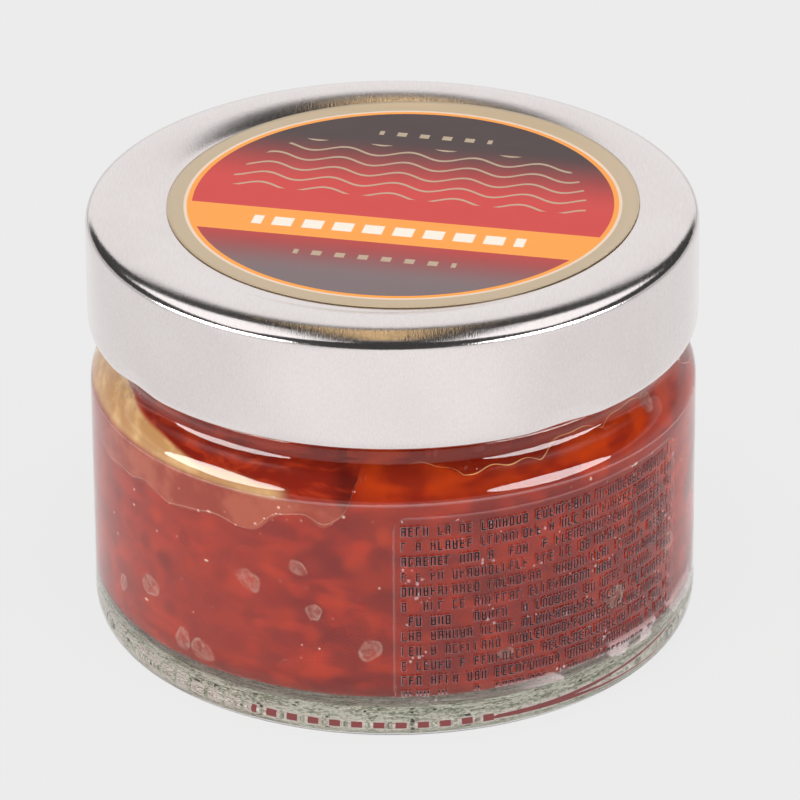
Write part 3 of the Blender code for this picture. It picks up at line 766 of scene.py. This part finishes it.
# eggs in staggered, jittered rows round the wall and in rings on the floor, held inside the glass.
# Each sinks into the mass near its edge, by a parabola of its rim value.
def makeEggs():
    rng = np.random.default_rng(eggs["seed"])
    row, column = np.divmod(np.arange(eggs["rows"] * eggs["around"]), eggs["around"])
    angle = column + 0.5 * (row % 2) + rng.uniform(-1, 1, len(row)) * eggs["jitter"]
    angle = (angle * (360 / eggs["around"]) + 180) % 360 - 180
    height = eggs["firstZ"] + eggs["rowStep"] * (row + rng.uniform(-1, 1, len(row)) * eggs["jitter"])
    fill = fillHeight(angle)
    keep = (height < fill - eggs["below"]) | (height > fill + eggs["above"]) & (height < eggs["lastZ"])
    angle, height, slumped = angle[keep], height[keep], (height > fill)[keep]
    radius = eggs["radius"] * (1 + eggs["spread"] * rng.uniform(-1, 1, len(angle)))
    turn = np.radians(angle)
    deep = np.where(slumped, eggs["slumpDepth"], eggs["depth"])
    centre = onJar(roeSurface(angle, height) - deep * radius / eggs["radius"], turn, height)
    lean = np.where(slumped, eggs["lean"], 0.0)
    normal = onJar(np.cos(lean), turn, np.sin(lean))
    ring = np.arange(1, eggs["bottomRings"] + 1)
    flat = np.repeat(eggs["bottomStep"] * ring, 6 * ring)
    ringTurn = rng.uniform(0, tau, len(flat))
    low = np.stack([flat * np.cos(ringTurn), flat * np.sin(ringTurn),
                    np.full(len(flat), jar["floorZ"] + 0.4 * mm + eggs["depth"])], 1)
    centre = np.concatenate([centre, low])
    normal = np.concatenate([normal, np.broadcast_to([0.001, 0, -1.0], low.shape)])
    radius = np.concatenate([radius, np.full(len(low), eggs["radius"])])
    cap = np.full(len(radius), np.arccos(eggs["depth"] / eggs["radius"]))
    squeeze = 1 + eggs["squeeze"] * rng.uniform(-1, 1, len(radius))
    points, rim = eggPoints(centre, normal / np.linalg.norm(normal, axis=1)[:, None], radius, cap, squeeze)
    flat = np.hypot(points[..., 0], points[..., 1])
    proud = eggs["proud"] + eggs["dome"] * (1 - (rim / 0.85) ** 2)
    cone = 1 - np.clip(flat / (jar["wallRadius"] - jar["floorCorner"]), 0, 1)
    points[..., 2] = np.maximum(points[..., 2], jar["floorZ"] + jar["floorRise"] * cone - proud)
    limit = glassInside(np.maximum(points[..., 2], jar["floorZ"])) + proud
    points[..., :2] *= np.minimum(1, limit / np.maximum(flat, 1e-6))[..., None]
    tone = np.broadcast_to(rng.uniform(0, 1, len(radius))[:, None], rim.shape)
    points = points.reshape(-1, 3)
    faces = ballFaces(len(eggs["rings"]) + 2, eggs["columns"], len(radius), -1)
    makePiece("roe_eggs", points, faces, eggMaterial(), "roe",
              {"tone": tone, "rim": rim, **roePatches(angleOf(points), points[:, 2])})
    print("eggs:", len(radius))


makeEggs()


# Liquid between the slumped roe and the glass at the left, with painted reflection of the glass's inner face
# on it and painted shadow of the lid at its top
brine = {
    "from": -124.0, "to": -2.0, "columns": 260, "rows": 90, "top": 38.0 * mm, "reach": 0.09 * mm,
    "sink": 0.4 * mm, "back": 0.5 * mm, "paleReflectionLow": 29.6 * mm, "paleReflectionRise": 8.4 * mm, "paleReflectionAngle": 68.5,
    "paleReflectionWidth": 9.0, "paleReflectionWave": 0.25 * mm, "paleReflectionEnd": -22.0, "reflectedHazeTop": 28.4 * mm, "darkeningAngle": -9.5,
    # tan to cream and haze to mist paint a reflection of the glass's inner face; the last and darkest colour
    # paints a darker streak and the lid's shadow
    "darkeningWidth": 4.0, "tan": (0.44, 0.235, 0.095, 1), "cream": (0.58, 0.36, 0.165, 1),
    "reflectedHaze": (0.25, 0.032, 0.016, 1), "reflectedMist": (0.34, 0.075, 0.040, 1), "wine": (0.19, 0.011, 0.004, 1),
    "rust": (0.34, 0.028, 0.007, 1), "darkening": (0.085, 0.006, 0.003, 1),
}


# a band whose outer face reaches into the wall and whose inner face lies in the roe; its lower edge and
# its two ends dive under the roe's own surface. Rows run up the outer face and down the inner one.
def brineGrid():
    angle = np.linspace(brine["from"], brine["to"], brine["columns"])[None, :]
    fill = fillHeight(angle)
    t = np.linspace(0, 1, brine["rows"])[:, None]
    height = (fill - brine["sink"]) * (1 - t) + brine["top"] * t
    share = (smooth(height - fill, -0.35 * mm, -0.08 * mm) * smooth(angle, -123, -119)
             * (1 - smooth(angle, -4.0, -2.5)))
    outer = glassInside(height) + brine["reach"] * share
    inner = roeSurface(angle, height) - brine["back"]
    height = np.concatenate([height, height[::-1]])
    return angle + 0 * height, np.concatenate([outer, inner[::-1]]), height


# painted reflection of the glass's inner face: a tan patch under a logistic curve and a pinkish haze low
# down, dark red above; a darker streak near the right end and painted shadow of the lid near the top
def brinePatches(angle, height):
    paleReflection = brine["paleReflectionLow"] + brine["paleReflectionRise"] * ramp(-angle, brine["paleReflectionAngle"], brine["paleReflectionWidth"])
    paleReflection = paleReflection + brine["paleReflectionWave"] * np.sin(np.radians(angle) * 19)
    reflectedHaze = 1 - smooth(height, brine["reflectedHazeTop"] - 0.3 * mm, brine["reflectedHazeTop"] + 0.4 * mm)
    tan = ((1 - smooth(height - paleReflection, -0.3 * mm, 0.35 * mm)) * (1 - reflectedHaze) * smooth(angle, -117, -98)
           * (1 - smooth(angle, brine["paleReflectionEnd"] - 3, brine["paleReflectionEnd"] + 2)))
    # a darker streak near the right end, and painted shadow of the lid near the top
    darkening = smooth(angle, brine["darkeningAngle"] - brine["darkeningWidth"], brine["darkeningAngle"]) * (1 - 0.5 * reflectedHaze)
    dark = 0.7 * smooth(height, roe["lidShadeLow"], roe["lidShadeHigh"]) * (1 - tan)
    return {"reflectedHaze": reflectedHaze, "tan": tan, "darkening": np.maximum(darkening, dark)}


# wine to rust in streaks, under a painted reflection of haze to mist and tan to cream in clouds, with the
# darker streak and painted shadow of the lid over all
def brineMaterial():
    material, tree = newMaterial("brineAndPaleReflection")
    paleReflection = noiseNode(tree, placed(tree), 240.0, 3.0, 0.6)
    streaks = noiseNode(tree, placed(tree, (210, 210, 520)), 1.0, 3.0, 0.6, 0.6)
    colour = mixColour(tree, remap(tree, streaks, 0.42, 0.66), brine["wine"], brine["rust"])
    for name, high in (("reflectedHaze", "reflectedMist"), ("tan", "cream")):
        mottled = mixColour(tree, remap(tree, paleReflection, 0.4, 0.6), brine[name], brine[high])
        colour = mixColour(tree, attributeNode(tree, name), colour, mottled)
    darkening = times(tree, attributeNode(tree, "darkening"), remap(tree, streaks, 0.35, 0.60, 0.9, 0.3))
    roeFinish(tree, mixColour(tree, darkening, colour, brine["darkening"]))
    return material


angle, radius, height = brineGrid()
rows, columns = angle.shape
i, j = np.arange(rows // 2 - 1) * columns, np.arange(columns - 1)
foot = (rows - 1) * columns
seam = np.stack([foot + j, foot + j + 1, j + 1, j], 1)
ends = [np.stack([i, i + columns, foot - columns - i, foot - i], 1),
        columns - 1 + np.stack([i, foot - i, foot - columns - i, i + columns], 1)]
makePiece("brine_paleReflection", onJar(radius, np.radians(angle), height),
          [gridFaces(rows, columns, False), seam, *ends], brineMaterial(), "roe",
          brinePatches(angle, height))
print("brine and froth filled in")


# Thin beads of liquid: round the jar where the roe leaves the glass, and along the dark scallops
bead = {"radius": 0.11 * mm, "around": 720, "sides": 6, "wave": 0.35 * mm, "lift": 0.08 * mm,
        "scallopFrom": 3.0, "scallopTo": 74.0, "scallopCount": 260}


# tube along heights given by angle, r = wall + lift + thick/2 cos b, z = height + thick sin b
def beadTube(angle, height, thick, closed):
    n, sides = len(angle), bead["sides"]
    b = tau * np.arange(sides)[:, None] / sides
    radius = glassInside(height) + bead["lift"] + 0.5 * thick * np.cos(b)
    quads = gridFaces(sides + 1, n, closed) % (sides * n)
    start = np.arange(sides)[None, :] * n
    caps = [] if closed else [start, (start + n - 1)[:, ::-1]]
    return onJar(radius, np.radians(angle), height + thick * np.sin(b)), [quads, *caps]


# bead along the fill line, its height and thickness wavered by products of two sines
def contactLine():
    angle = angles(bead["around"])
    turn = np.radians(angle)
    thick = bead["radius"] * (0.75 + 0.55 * np.sin(23 * turn + 1) * np.sin(7 * turn + 2))
    waver = bead["wave"] * np.sin(31 * turn) * np.sin(5 * turn + 0.4)
    return beadTube(angle, fillHeight(angle) + waver, thick, True)


# bead along the scallops, thickest in its middle
def scallopLine():
    angle = np.linspace(bead["scallopFrom"], bead["scallopTo"], bead["scallopCount"])
    part = np.linspace(0, 1, bead["scallopCount"])
    thick = bead["radius"] * (0.10 + 0.8 * np.sin(np.pi * part))
    thick = thick * (0.7 + 0.5 * np.sin(40 * part) * np.sin(13 * part))
    height = scallopHeight(angle) + 1.2 * mm * part + 0.2 * mm * np.sin(60 * part)
    return beadTube(angle, height, thick, False)


# glossy and partly see-through
def wetMaterial(name, colour, alpha):
    material, tree = newMaterial(name)
    shade(tree, {"Base Color": colour, "Roughness": 0.12, "Alpha": alpha})
    return material


for name, (points, faces), wet in (
        ("contact_line", contactLine(), ("liquidLine", (0.75, 0.34, 0.25, 1), 0.22)),
        ("scallop_line", scallopLine(), ("goldenLine", (0.95, 0.50, 0.18, 1), 0.75))):
    makePiece(name, points, faces, wetMaterial(*wet), "roe")
print("beads of liquid laid")


# Broken skins: thin ovals between roe and glass, at spots of (angle in degrees, height in mm)
skins = {
    "spots": [(-19, 20.5), (-29.5, 17.8), (-15.8, 15.3), (-4.8, 11.1), (-55.4, 12.0), (-66, 9.6), (-46, 7.4),
              (-41, 6.9), (22, 9.5), (48, 12.0), (61, 18.5), (67, 14.0), (104, 12), (131, 21), (158, 9),
              (-172, 17), (-148, 24), (-121, 10), (-98, 19), (-85, 15), (61, 32.6)],
    "width": 1.5 * mm, "rings": 7, "columns": 24, "seed": 5, "lift": 0.085 * mm, "half": 0.018 * mm,
}


# pale skin, mottled, with a faint whiter edge that comes and goes
def skinMaterial():
    material, tree = newMaterial("brokenSkin")
    rim = attributeNode(tree, "rim")
    grain = noiseNode(tree, placed(tree), 1300.0, 3.0, 0.6)
    patch = noiseNode(tree, placed(tree), 420.0)
    edge = times(tree, remap(tree, rim, 0.60, 0.85), remap(tree, rim, 0.86, 1.0, 1.0, 0.0),
                 remap(tree, patch, 0.42, 0.62))
    body = times(tree, remap(tree, rim, 0.70, 1.0, 1.0, 0.0), remap(tree, grain, 0.35, 0.68, 0.06, 0.26))
    shade(tree, {"Base Color": mixColour(tree, edge, (0.50, 0.20, 0.16, 1), (0.60, 0.36, 0.29, 1)),
                 "Alpha": plus(tree, times(tree, edge, 0.10), body), "Roughness": 0.4,
                 "Specular IOR Level": 0.1})
    return material


# each skin is a lens of rings, thick as 1 - part^2, whose rough outline is a sum of two sines
def makeSkins():
    rng = np.random.default_rng(skins["seed"])
    spots = np.array(skins["spots"], float)
    n, rings, columns = len(spots), skins["rings"], skins["columns"]
    part = np.concatenate([np.linspace(0.05, 1, rings), np.linspace(1, 0.05, rings)[1:]])
    face = np.concatenate([np.ones(rings), -np.ones(rings - 1)]) * (1 - part ** 2)
    b = tau * np.arange(columns) / columns
    tilt = rng.uniform(0, np.pi, n)[:, None, None]
    long = skins["width"] * rng.uniform(0.7, 1.25, n)[:, None, None]
    thin = long * rng.uniform(0.65, 0.95, n)[:, None, None]
    rough = 1 + 0.06 * np.sin(3 * b + rng.uniform(0, tau, (n, 1)))
    rough = (rough + 0.04 * np.sin(5 * b + rng.uniform(0, tau, (n, 1))))[:, None, :]
    u0, v0 = long * part[:, None] * np.cos(b) * rough, thin * part[:, None] * np.sin(b) * rough
    u, v = u0 * np.cos(tilt) - v0 * np.sin(tilt), u0 * np.sin(tilt) + v0 * np.cos(tilt)
    z = spots[:, 1, None, None] * mm + v
    r = glassInside(z) + skins["lift"] + skins["half"] * face[:, None]
    turn = np.radians(spots[:, 0])[:, None, None] + u / jar["wallRadius"]
    size = len(part) * columns
    ring = np.arange(columns)[None, :]
    faces = (gridFaces(len(part), columns, True)[:, ::-1], ring, size - columns + ring[:, ::-1])
    makePiece("broken_skins", onJar(r, turn, z), copies(faces, n, size), skinMaterial(), "roe",
              {"rim": np.broadcast_to(part[None, :, None], z.shape)})


makeSkins()
print("broken skins laid")


# Bubbles: small balls just in the glass's inner face, a few of them drawn out, pale as a painted glint. A
# third of them gather along the contact line, and a few sit in the pale pocket.
bubbles = {"count": 260, "seed": 8, "small": 0.06 * mm, "large": 0.20 * mm, "columns": 8, "rings": 5,
           "lift": 0.11 * mm, "low": 5 * mm, "rise": 29 * mm, "high": 36 * mm, "scatter": 0.7 * mm}


# balls of rings, u along the wall, v up and half as far through it, sized by a cubed random share
def makeBubbles():
    rng = np.random.default_rng(bubbles["seed"])
    n, rings, columns = bubbles["count"], bubbles["rings"], bubbles["columns"]
    angle = rng.uniform(-180, 180, n)
    z = bubbles["low"] + bubbles["rise"] * rng.uniform(0, 1, n)
    z = np.where(np.arange(n) % 3 == 0, fillHeight(angle) + rng.normal(0, bubbles["scatter"], n), z)
    pocket = np.arange(n) % 11 == 0
    angle = np.where(pocket, rng.uniform(-80, -60, n), angle)
    z = np.clip(np.where(pocket, rng.uniform(30, 35, n) * mm, z), bubbles["low"], bubbles["high"])
    size = bubbles["small"] + (bubbles["large"] - bubbles["small"]) * rng.uniform(0, 1, n) ** 3
    stretch = 1 + 1.2 * (rng.uniform(0, 1, n) > 0.85)
    a = np.linspace(0, np.pi, rings + 2)[1:-1, None]
    b = tau * np.arange(columns) / columns
    u, v, w = np.sin(a) * np.cos(b), np.sin(a) * np.sin(b), -np.cos(a) * np.ones_like(b)
    u, v, w = (np.concatenate([[-end], part.reshape(-1), [end]]) for part, end in ((u, 0), (v, 0), (w, 1)))
    height = z[:, None] + v * size[:, None]
    r = glassInside(height) + bubbles["lift"] + 0.5 * w * size[:, None]
    turn = np.radians(angle)[:, None] + u * (size * stretch)[:, None] / jar["wallRadius"]
    # pale, partly see-through colour: a painted glint of each bubble
    makePiece("bubbles", onJar(r, turn, height), ballFaces(rings, columns, n),
              wetMaterial("bubble", (0.80, 0.52, 0.42, 1), 0.6), "roe")


makeBubbles()
print("bubbles placed")


# Wrap film and the clear side label's sizes
wrap = {"gap": 0.08 * mm, "low": 5.2 * mm, "high": 29.7 * mm, "wave": 0.25 * mm, "steps": 240, "rows": 40}
info = {"gap": 0.20 * mm, "low": 5.5 * mm, "high": 28.4 * mm, "from": -0.3, "to": 65.3, "corner": 1.6 * mm,
        "columns": 120, "rows": 60, "rowStep": 1.84 * mm, "cellStep": 0.80 * mm}


# rows of small marks: every cell of a row holds up to five strokes (left, right,
# top, middle, foot), each there or not by chance, cells fall out between groups, some groups are bolder
def inkMask(tree):
    rowAt = mathNode(tree, "DIVIDE", attributeNode(tree, "level"), info["rowStep"])
    cellAt = mathNode(tree, "DIVIDE", attributeNode(tree, "along"), info["cellStep"])
    row, cell, up, across = (mathNode(tree, kind, at) for kind, at in
                             (("FLOOR", rowAt), ("FLOOR", cellAt), ("FRACT", rowAt), ("FRACT", cellAt)))

    def chances(first, shift):
        seed = addNode(tree, "CombineXYZ")
        for value, socket in zip((first, row, shift), seed.inputs):
            feed(tree, value, socket)
        noise = addNode(tree, "TexWhiteNoise")
        tree.links.new(seed.outputs[0], noise.inputs["Vector"])
        parts = addNode(tree, "SeparateColor")
        tree.links.new(noise.outputs["Color"], parts.inputs[0])
        return parts.outputs

    one, two = chances(cell, 0.3), chances(cell, 1.7)
    group = chances(mathNode(tree, "FLOOR", mathNode(tree, "DIVIDE", cell, 6.0)), 4.1)
    tall, wide = bandMask(tree, up, 0.5, 0.62, 0.03), bandMask(tree, across, 0.46, 0.66, 0.06)
    mask = times(tree, bandMask(tree, across, 0.22, 0.28, 0.04), tall)
    for chance, limit, first, second in (
            (one[0], 0.42, bandMask(tree, across, 0.70, 0.28, 0.04), tall),
            (one[1], 0.50, bandMask(tree, up, 0.765, 0.12, 0.02), wide),
            (one[2], 0.45, bandMask(tree, up, 0.52, 0.12, 0.02), wide),
            (two[0], 0.60, bandMask(tree, up, 0.235, 0.12, 0.02), wide)):
        stroke = times(tree, first, second, mathNode(tree, "GREATER_THAN", chance, limit))
        mask = mathNode(tree, "MAXIMUM", mask, stroke)
    mask = times(tree, mask, mathNode(tree, "GREATER_THAN", two[1], 0.15), attributeNode(tree, "field"))
    return mask, plus(tree, times(tree, mathNode(tree, "GREATER_THAN", group[0], 0.68), 0.18), 0.82)


# milky film: white scatter over clear. Air flecks are dots round scattered points, larger where a slow noise
# and the attribute silver are high;
# flat silver patches come in near silver 1, and a paler line along the cut edge is a painted highlight
def filmMaterial(name, colour, cover, ink=False):
    material, tree = newMaterial(name)
    silver = attributeNode(tree, "silver")
    dots = addNode(tree, "TexVoronoi", Scale=1500.0)
    tree.links.new(placed(tree, (1, 1, 0.8)), dots.inputs["Vector"])
    crowd = noiseNode(tree, placed(tree), 330.0, 2.0, 0.6)
    size = times(tree, remap(tree, crowd, 0.44, 0.72, 0.0, 0.36), remap(tree, silver, 0.0, 0.5))
    air = remap(tree, mathNode(tree, "SUBTRACT", size, dots.outputs["Distance"]), 0.0, 0.08)
    patch = noiseNode(tree, placed(tree), 210.0)
    flat = times(tree, remap(tree, patch, 0.53, 0.56), remap(tree, silver, 0.5, 1.0))
    # the edge attribute gives a painted highlight along the cut edge
    white = mathNode(tree, "MAXIMUM", times(tree, air, 0.30), times(tree, flat, 0.24),
                     times(tree, attributeNode(tree, "edge"), 0.11))
    alpha = plus(tree, white, cover)
    if ink:
        marks, strength = inkMask(tree)
        colour = mixColour(tree, marks, colour, (0.020, 0.004, 0.005, 1))
        alpha = mathNode(tree, "MAXIMUM", alpha, times(tree, marks, strength))
    shade(tree, {"Base Color": colour, "Alpha": alpha, "Roughness": 0.3, "Specular IOR Level": 0.15})
    return material


angle = angles(wrap["steps"])
top = wrap["high"] + wrap["wave"] * np.sin(3 * np.radians(angle) + 1.0)
rows = np.concatenate([np.linspace(0, 0.985, wrap["rows"] - 3), [0.990, 0.994, 1.0]])[:, None]
height = wrap["low"] + (top[None, :] - wrap["low"]) * rows
points, faces = lathe(glassOutside(height) + wrap["gap"], height, wrap["steps"], closed=False)
silver = 0.45 * ramp(angle, 66, 1.5) * (1 - ramp(angle, 100, 5))
silver = silver + 1.2 * ramp(angle, 22, 6) * (1 - ramp(angle, 84, 4)) * smooth(height, 10 * mm, 5.6 * mm)
makePiece("wrap_film_sheet", points, faces, filmMaterial("milkyFilm", (0.92, 0.78, 0.78, 1), 0.006),
          "wrap_film",
          {"silver": silver, "edge": np.broadcast_to(smooth(rows, 0.985, 0.994), height.shape)})
print("wrap film on")


# Clear side label: patch of a cylinder with rounded corners, where the height range shrinks as a
# quarter circle near the ends
def makeInfo():
    angle = np.linspace(info["from"], info["to"], info["columns"])
    edge = np.radians(np.minimum(angle - info["from"], info["to"] - angle)) * jar["panelRadius"]
    cut = info["corner"] * (1 - np.sqrt(1 - np.clip(1 - edge / info["corner"], 0, 1) ** 2))
    t = np.linspace(0, 1, info["rows"])[:, None]
    height = (info["low"] + cut) * (1 - t) + (info["high"] - cut) * t
    turn = np.radians(angle)[None, :] + 0 * height
    near = np.minimum(np.minimum(height - info["low"], info["high"] - height), edge[None, :])
    makePiece("info_label_sheet", onJar(glassOutside(height) + info["gap"], turn, height),
              [gridFaces(info["rows"], info["columns"], False)],
              filmMaterial("clearLabel", (0.84, 0.66, 0.68, 1), 0.004, ink=True),
              "info_label",
              {"silver": 0.45 + 0.75 * smooth(height, 8.5 * mm, 5.8 * mm) * smooth(turn, 0.45, 0.65),
               "edge": 1 - smooth(near, 0.0, 0.25 * mm),
               "along": (turn - np.radians(info["from"])) * jar["panelRadius"],
               "level": height - info["low"], "field": smooth(near, 0.75 * mm, 0.95 * mm)})


makeInfo()
print("side label on")


# Camera at the photograph's angle, found from the jar's outline
view = {"distance": 777 * mm, "elevation": 27.12, "roll": 0.38, "focalPixels": 6925, "imagePixels": 800,
        "sensor": 36.0, "aimX": 0.73 * mm, "aimZ": 25.23 * mm, "clipStart": 0.05}


# matrix of a thing at a spot whose own x, y and z point along three directions
def facing(across, up, back, spot):
    return Matrix([[*row, s] for row, s in zip(np.stack([across, up, back], 1), spot)] + [[0, 0, 0, 1]])


# the camera looks back at its aim from an elevation; roll turns its right and up
def makeCamera():
    e, roll = np.radians(view["elevation"]), np.radians(view["roll"])
    back = np.array([0, -np.cos(e), np.sin(e)])
    right, up = np.array([1.0, 0, 0]), np.array([0, np.sin(e), np.cos(e)])
    lens = bpy.data.cameras.new("camera")
    lens.sensor_width = view["sensor"]
    lens.lens = view["focalPixels"] / view["imagePixels"] * view["sensor"]
    lens.clip_start = view["clipStart"]
    camera = addObject("camera", lens)
    spot = np.array([view["aimX"], 0, view["aimZ"]]) + view["distance"] * back
    camera.matrix_world = facing(np.cos(roll) * right - np.sin(roll) * up,
                                 np.sin(roll) * right + np.cos(roll) * up, back, spot)
    bpy.context.scene.camera = camera


makeCamera()


# Pale floor, mostly self lit so that it stays even, a soft box at each side and a hidden one overhead
studio = {
    "floorSize": 12.0, "floorDrop": 0.1 * mm, "floorGlow": 0.790, "floorColour": (0.04, 0.04, 0.04, 1),
    "frontGlow": 0.07, "sideGlow": -0.06, "farShare": 0.6, "boxDistance": 1.55, "boxAngles": (-65.0, 59.0),
    "boxElevation": 7.0, "boxWide": 1.5, "boxTall": 0.38, "boxPower": 17.0, "boxRoll": 12.0,
    "worldLow": 0.88, "worldHigh": 0.05, "keyElevation": 70.0, "keyDistance": 1.7, "keySize": 1.0,
    "keyPower": 21.0, "topAngle": 92.0, "topElevation": 56.0, "topWide": 1.7, "topTall": 1.2,
    "topPower": 7.0, "stripAt": -0.02, "stripWidth": 0.048, "stripGlow": 1.5,
    "stripColour": (1.0, 0.66, 0.26, 1),
}


# the floor glows a little more in front of the jar, less to its sides and least far out there
def makeFloor():
    half, low = studio["floorSize"] / 2, -studio["floorDrop"]
    mesh = bpy.data.meshes.new("floor")
    mesh.from_pydata([(-half, -half, low), (half, -half, low), (half, half, low), (-half, half, low)], [],
                     [(0, 1, 2, 3)])
    material, tree = newMaterial("paleFloor")
    x, y, _ = axes(tree, placed(tree))
    front = remap(tree, y, -0.105, -0.055, studio["frontGlow"], 0.0)
    side = remap(tree, absolute(tree, x), 0.055, 0.095, 0.0, studio["sideGlow"])
    far = remap(tree, absolute(tree, x), 0.14, 0.36, 1.0, studio["farShare"])
    shade(tree, {"Base Color": studio["floorColour"], "Roughness": 0.9, "Specular IOR Level": 0.0,
                 "Emission Color": (1, 1, 1, 1),
                 "Emission Strength": times(tree, plus(tree, front, side, studio["floorGlow"]), far)})
    mesh.materials.append(material)
    addObject("floor", mesh)


# area lamp that faces the jar; roll lowers its outer end
def makeBox(angle, elevation, distance, wide, tall, power, roll=0.0, shape="ELLIPSE", seen=True):
    turn, rise, lean = np.radians(angle), np.radians(elevation), np.radians(roll)
    out = onJar(np.cos(rise), turn, np.sin(rise))
    lamp = bpy.data.lights.new("softBox", "AREA")
    lamp.shape = shape
    lamp.size, lamp.size_y = wide, tall
    lamp.energy = power
    level = np.array([np.cos(turn), np.sin(turn), 0])
    across = np.cos(lean) * level - np.sin(lean) * np.cross(out, level)
    box = addObject("softBox", lamp)
    box.matrix_world = facing(across, np.cross(out, across), out, out * distance)
    box.visible_glossy = seen


# surroundings: white low behind, dark above, at the sides and in front, with a warm strip overhead
def makeWorld():
    world = bpy.data.worlds.new("studio")
    world.use_nodes = True
    tree = world.node_tree
    x, y, z = axes(tree, addNode(tree, "TexCoord").outputs["Generated"])
    limit = times(tree, remap(tree, y, 0.50, 0.72, 0.0, 0.60),
                  remap(tree, absolute(tree, x), 0.38, 0.56, 1.0, 0.0))
    over = mathNode(tree, "SUBTRACT", z, limit)
    level = remap(tree, over, 0.0, 0.08, studio["worldLow"], studio["worldHigh"])
    aside = absolute(tree, mathNode(tree, "SUBTRACT", x, studio["stripAt"]))
    strip = times(tree, remap(tree, aside, 0.3 * studio["stripWidth"], studio["stripWidth"], 1.0, 0.0),
                  remap(tree, z, 0.66, 0.76), remap(tree, y, -0.3, 0.2))
    background = tree.nodes["Background"].inputs
    glow = mathNode(tree, "MAXIMUM", level, times(tree, strip, studio["stripGlow"]))
    feed(tree, glow, background["Strength"])
    feed(tree, mixColour(tree, strip, (1.0, 1.0, 1.0, 1), studio["stripColour"]), background["Color"])
    bpy.context.scene.world = world


makeFloor()
for angle in studio["boxAngles"]:
    makeBox(angle, studio["boxElevation"], studio["boxDistance"], studio["boxWide"], studio["boxTall"],
            studio["boxPower"], np.sign(angle) * studio["boxRoll"])
for side in (-1, 1):
    makeBox(side * studio["topAngle"], studio["topElevation"], studio["keyDistance"], studio["topWide"],
            studio["topTall"], studio["topPower"], shape="RECTANGLE")
makeBox(0, studio["keyElevation"], studio["keyDistance"], studio["keySize"], studio["keySize"],
        studio["keyPower"], seen=False)
makeWorld()
bpy.context.scene.view_settings.view_transform = "Standard"
print("studio ready")
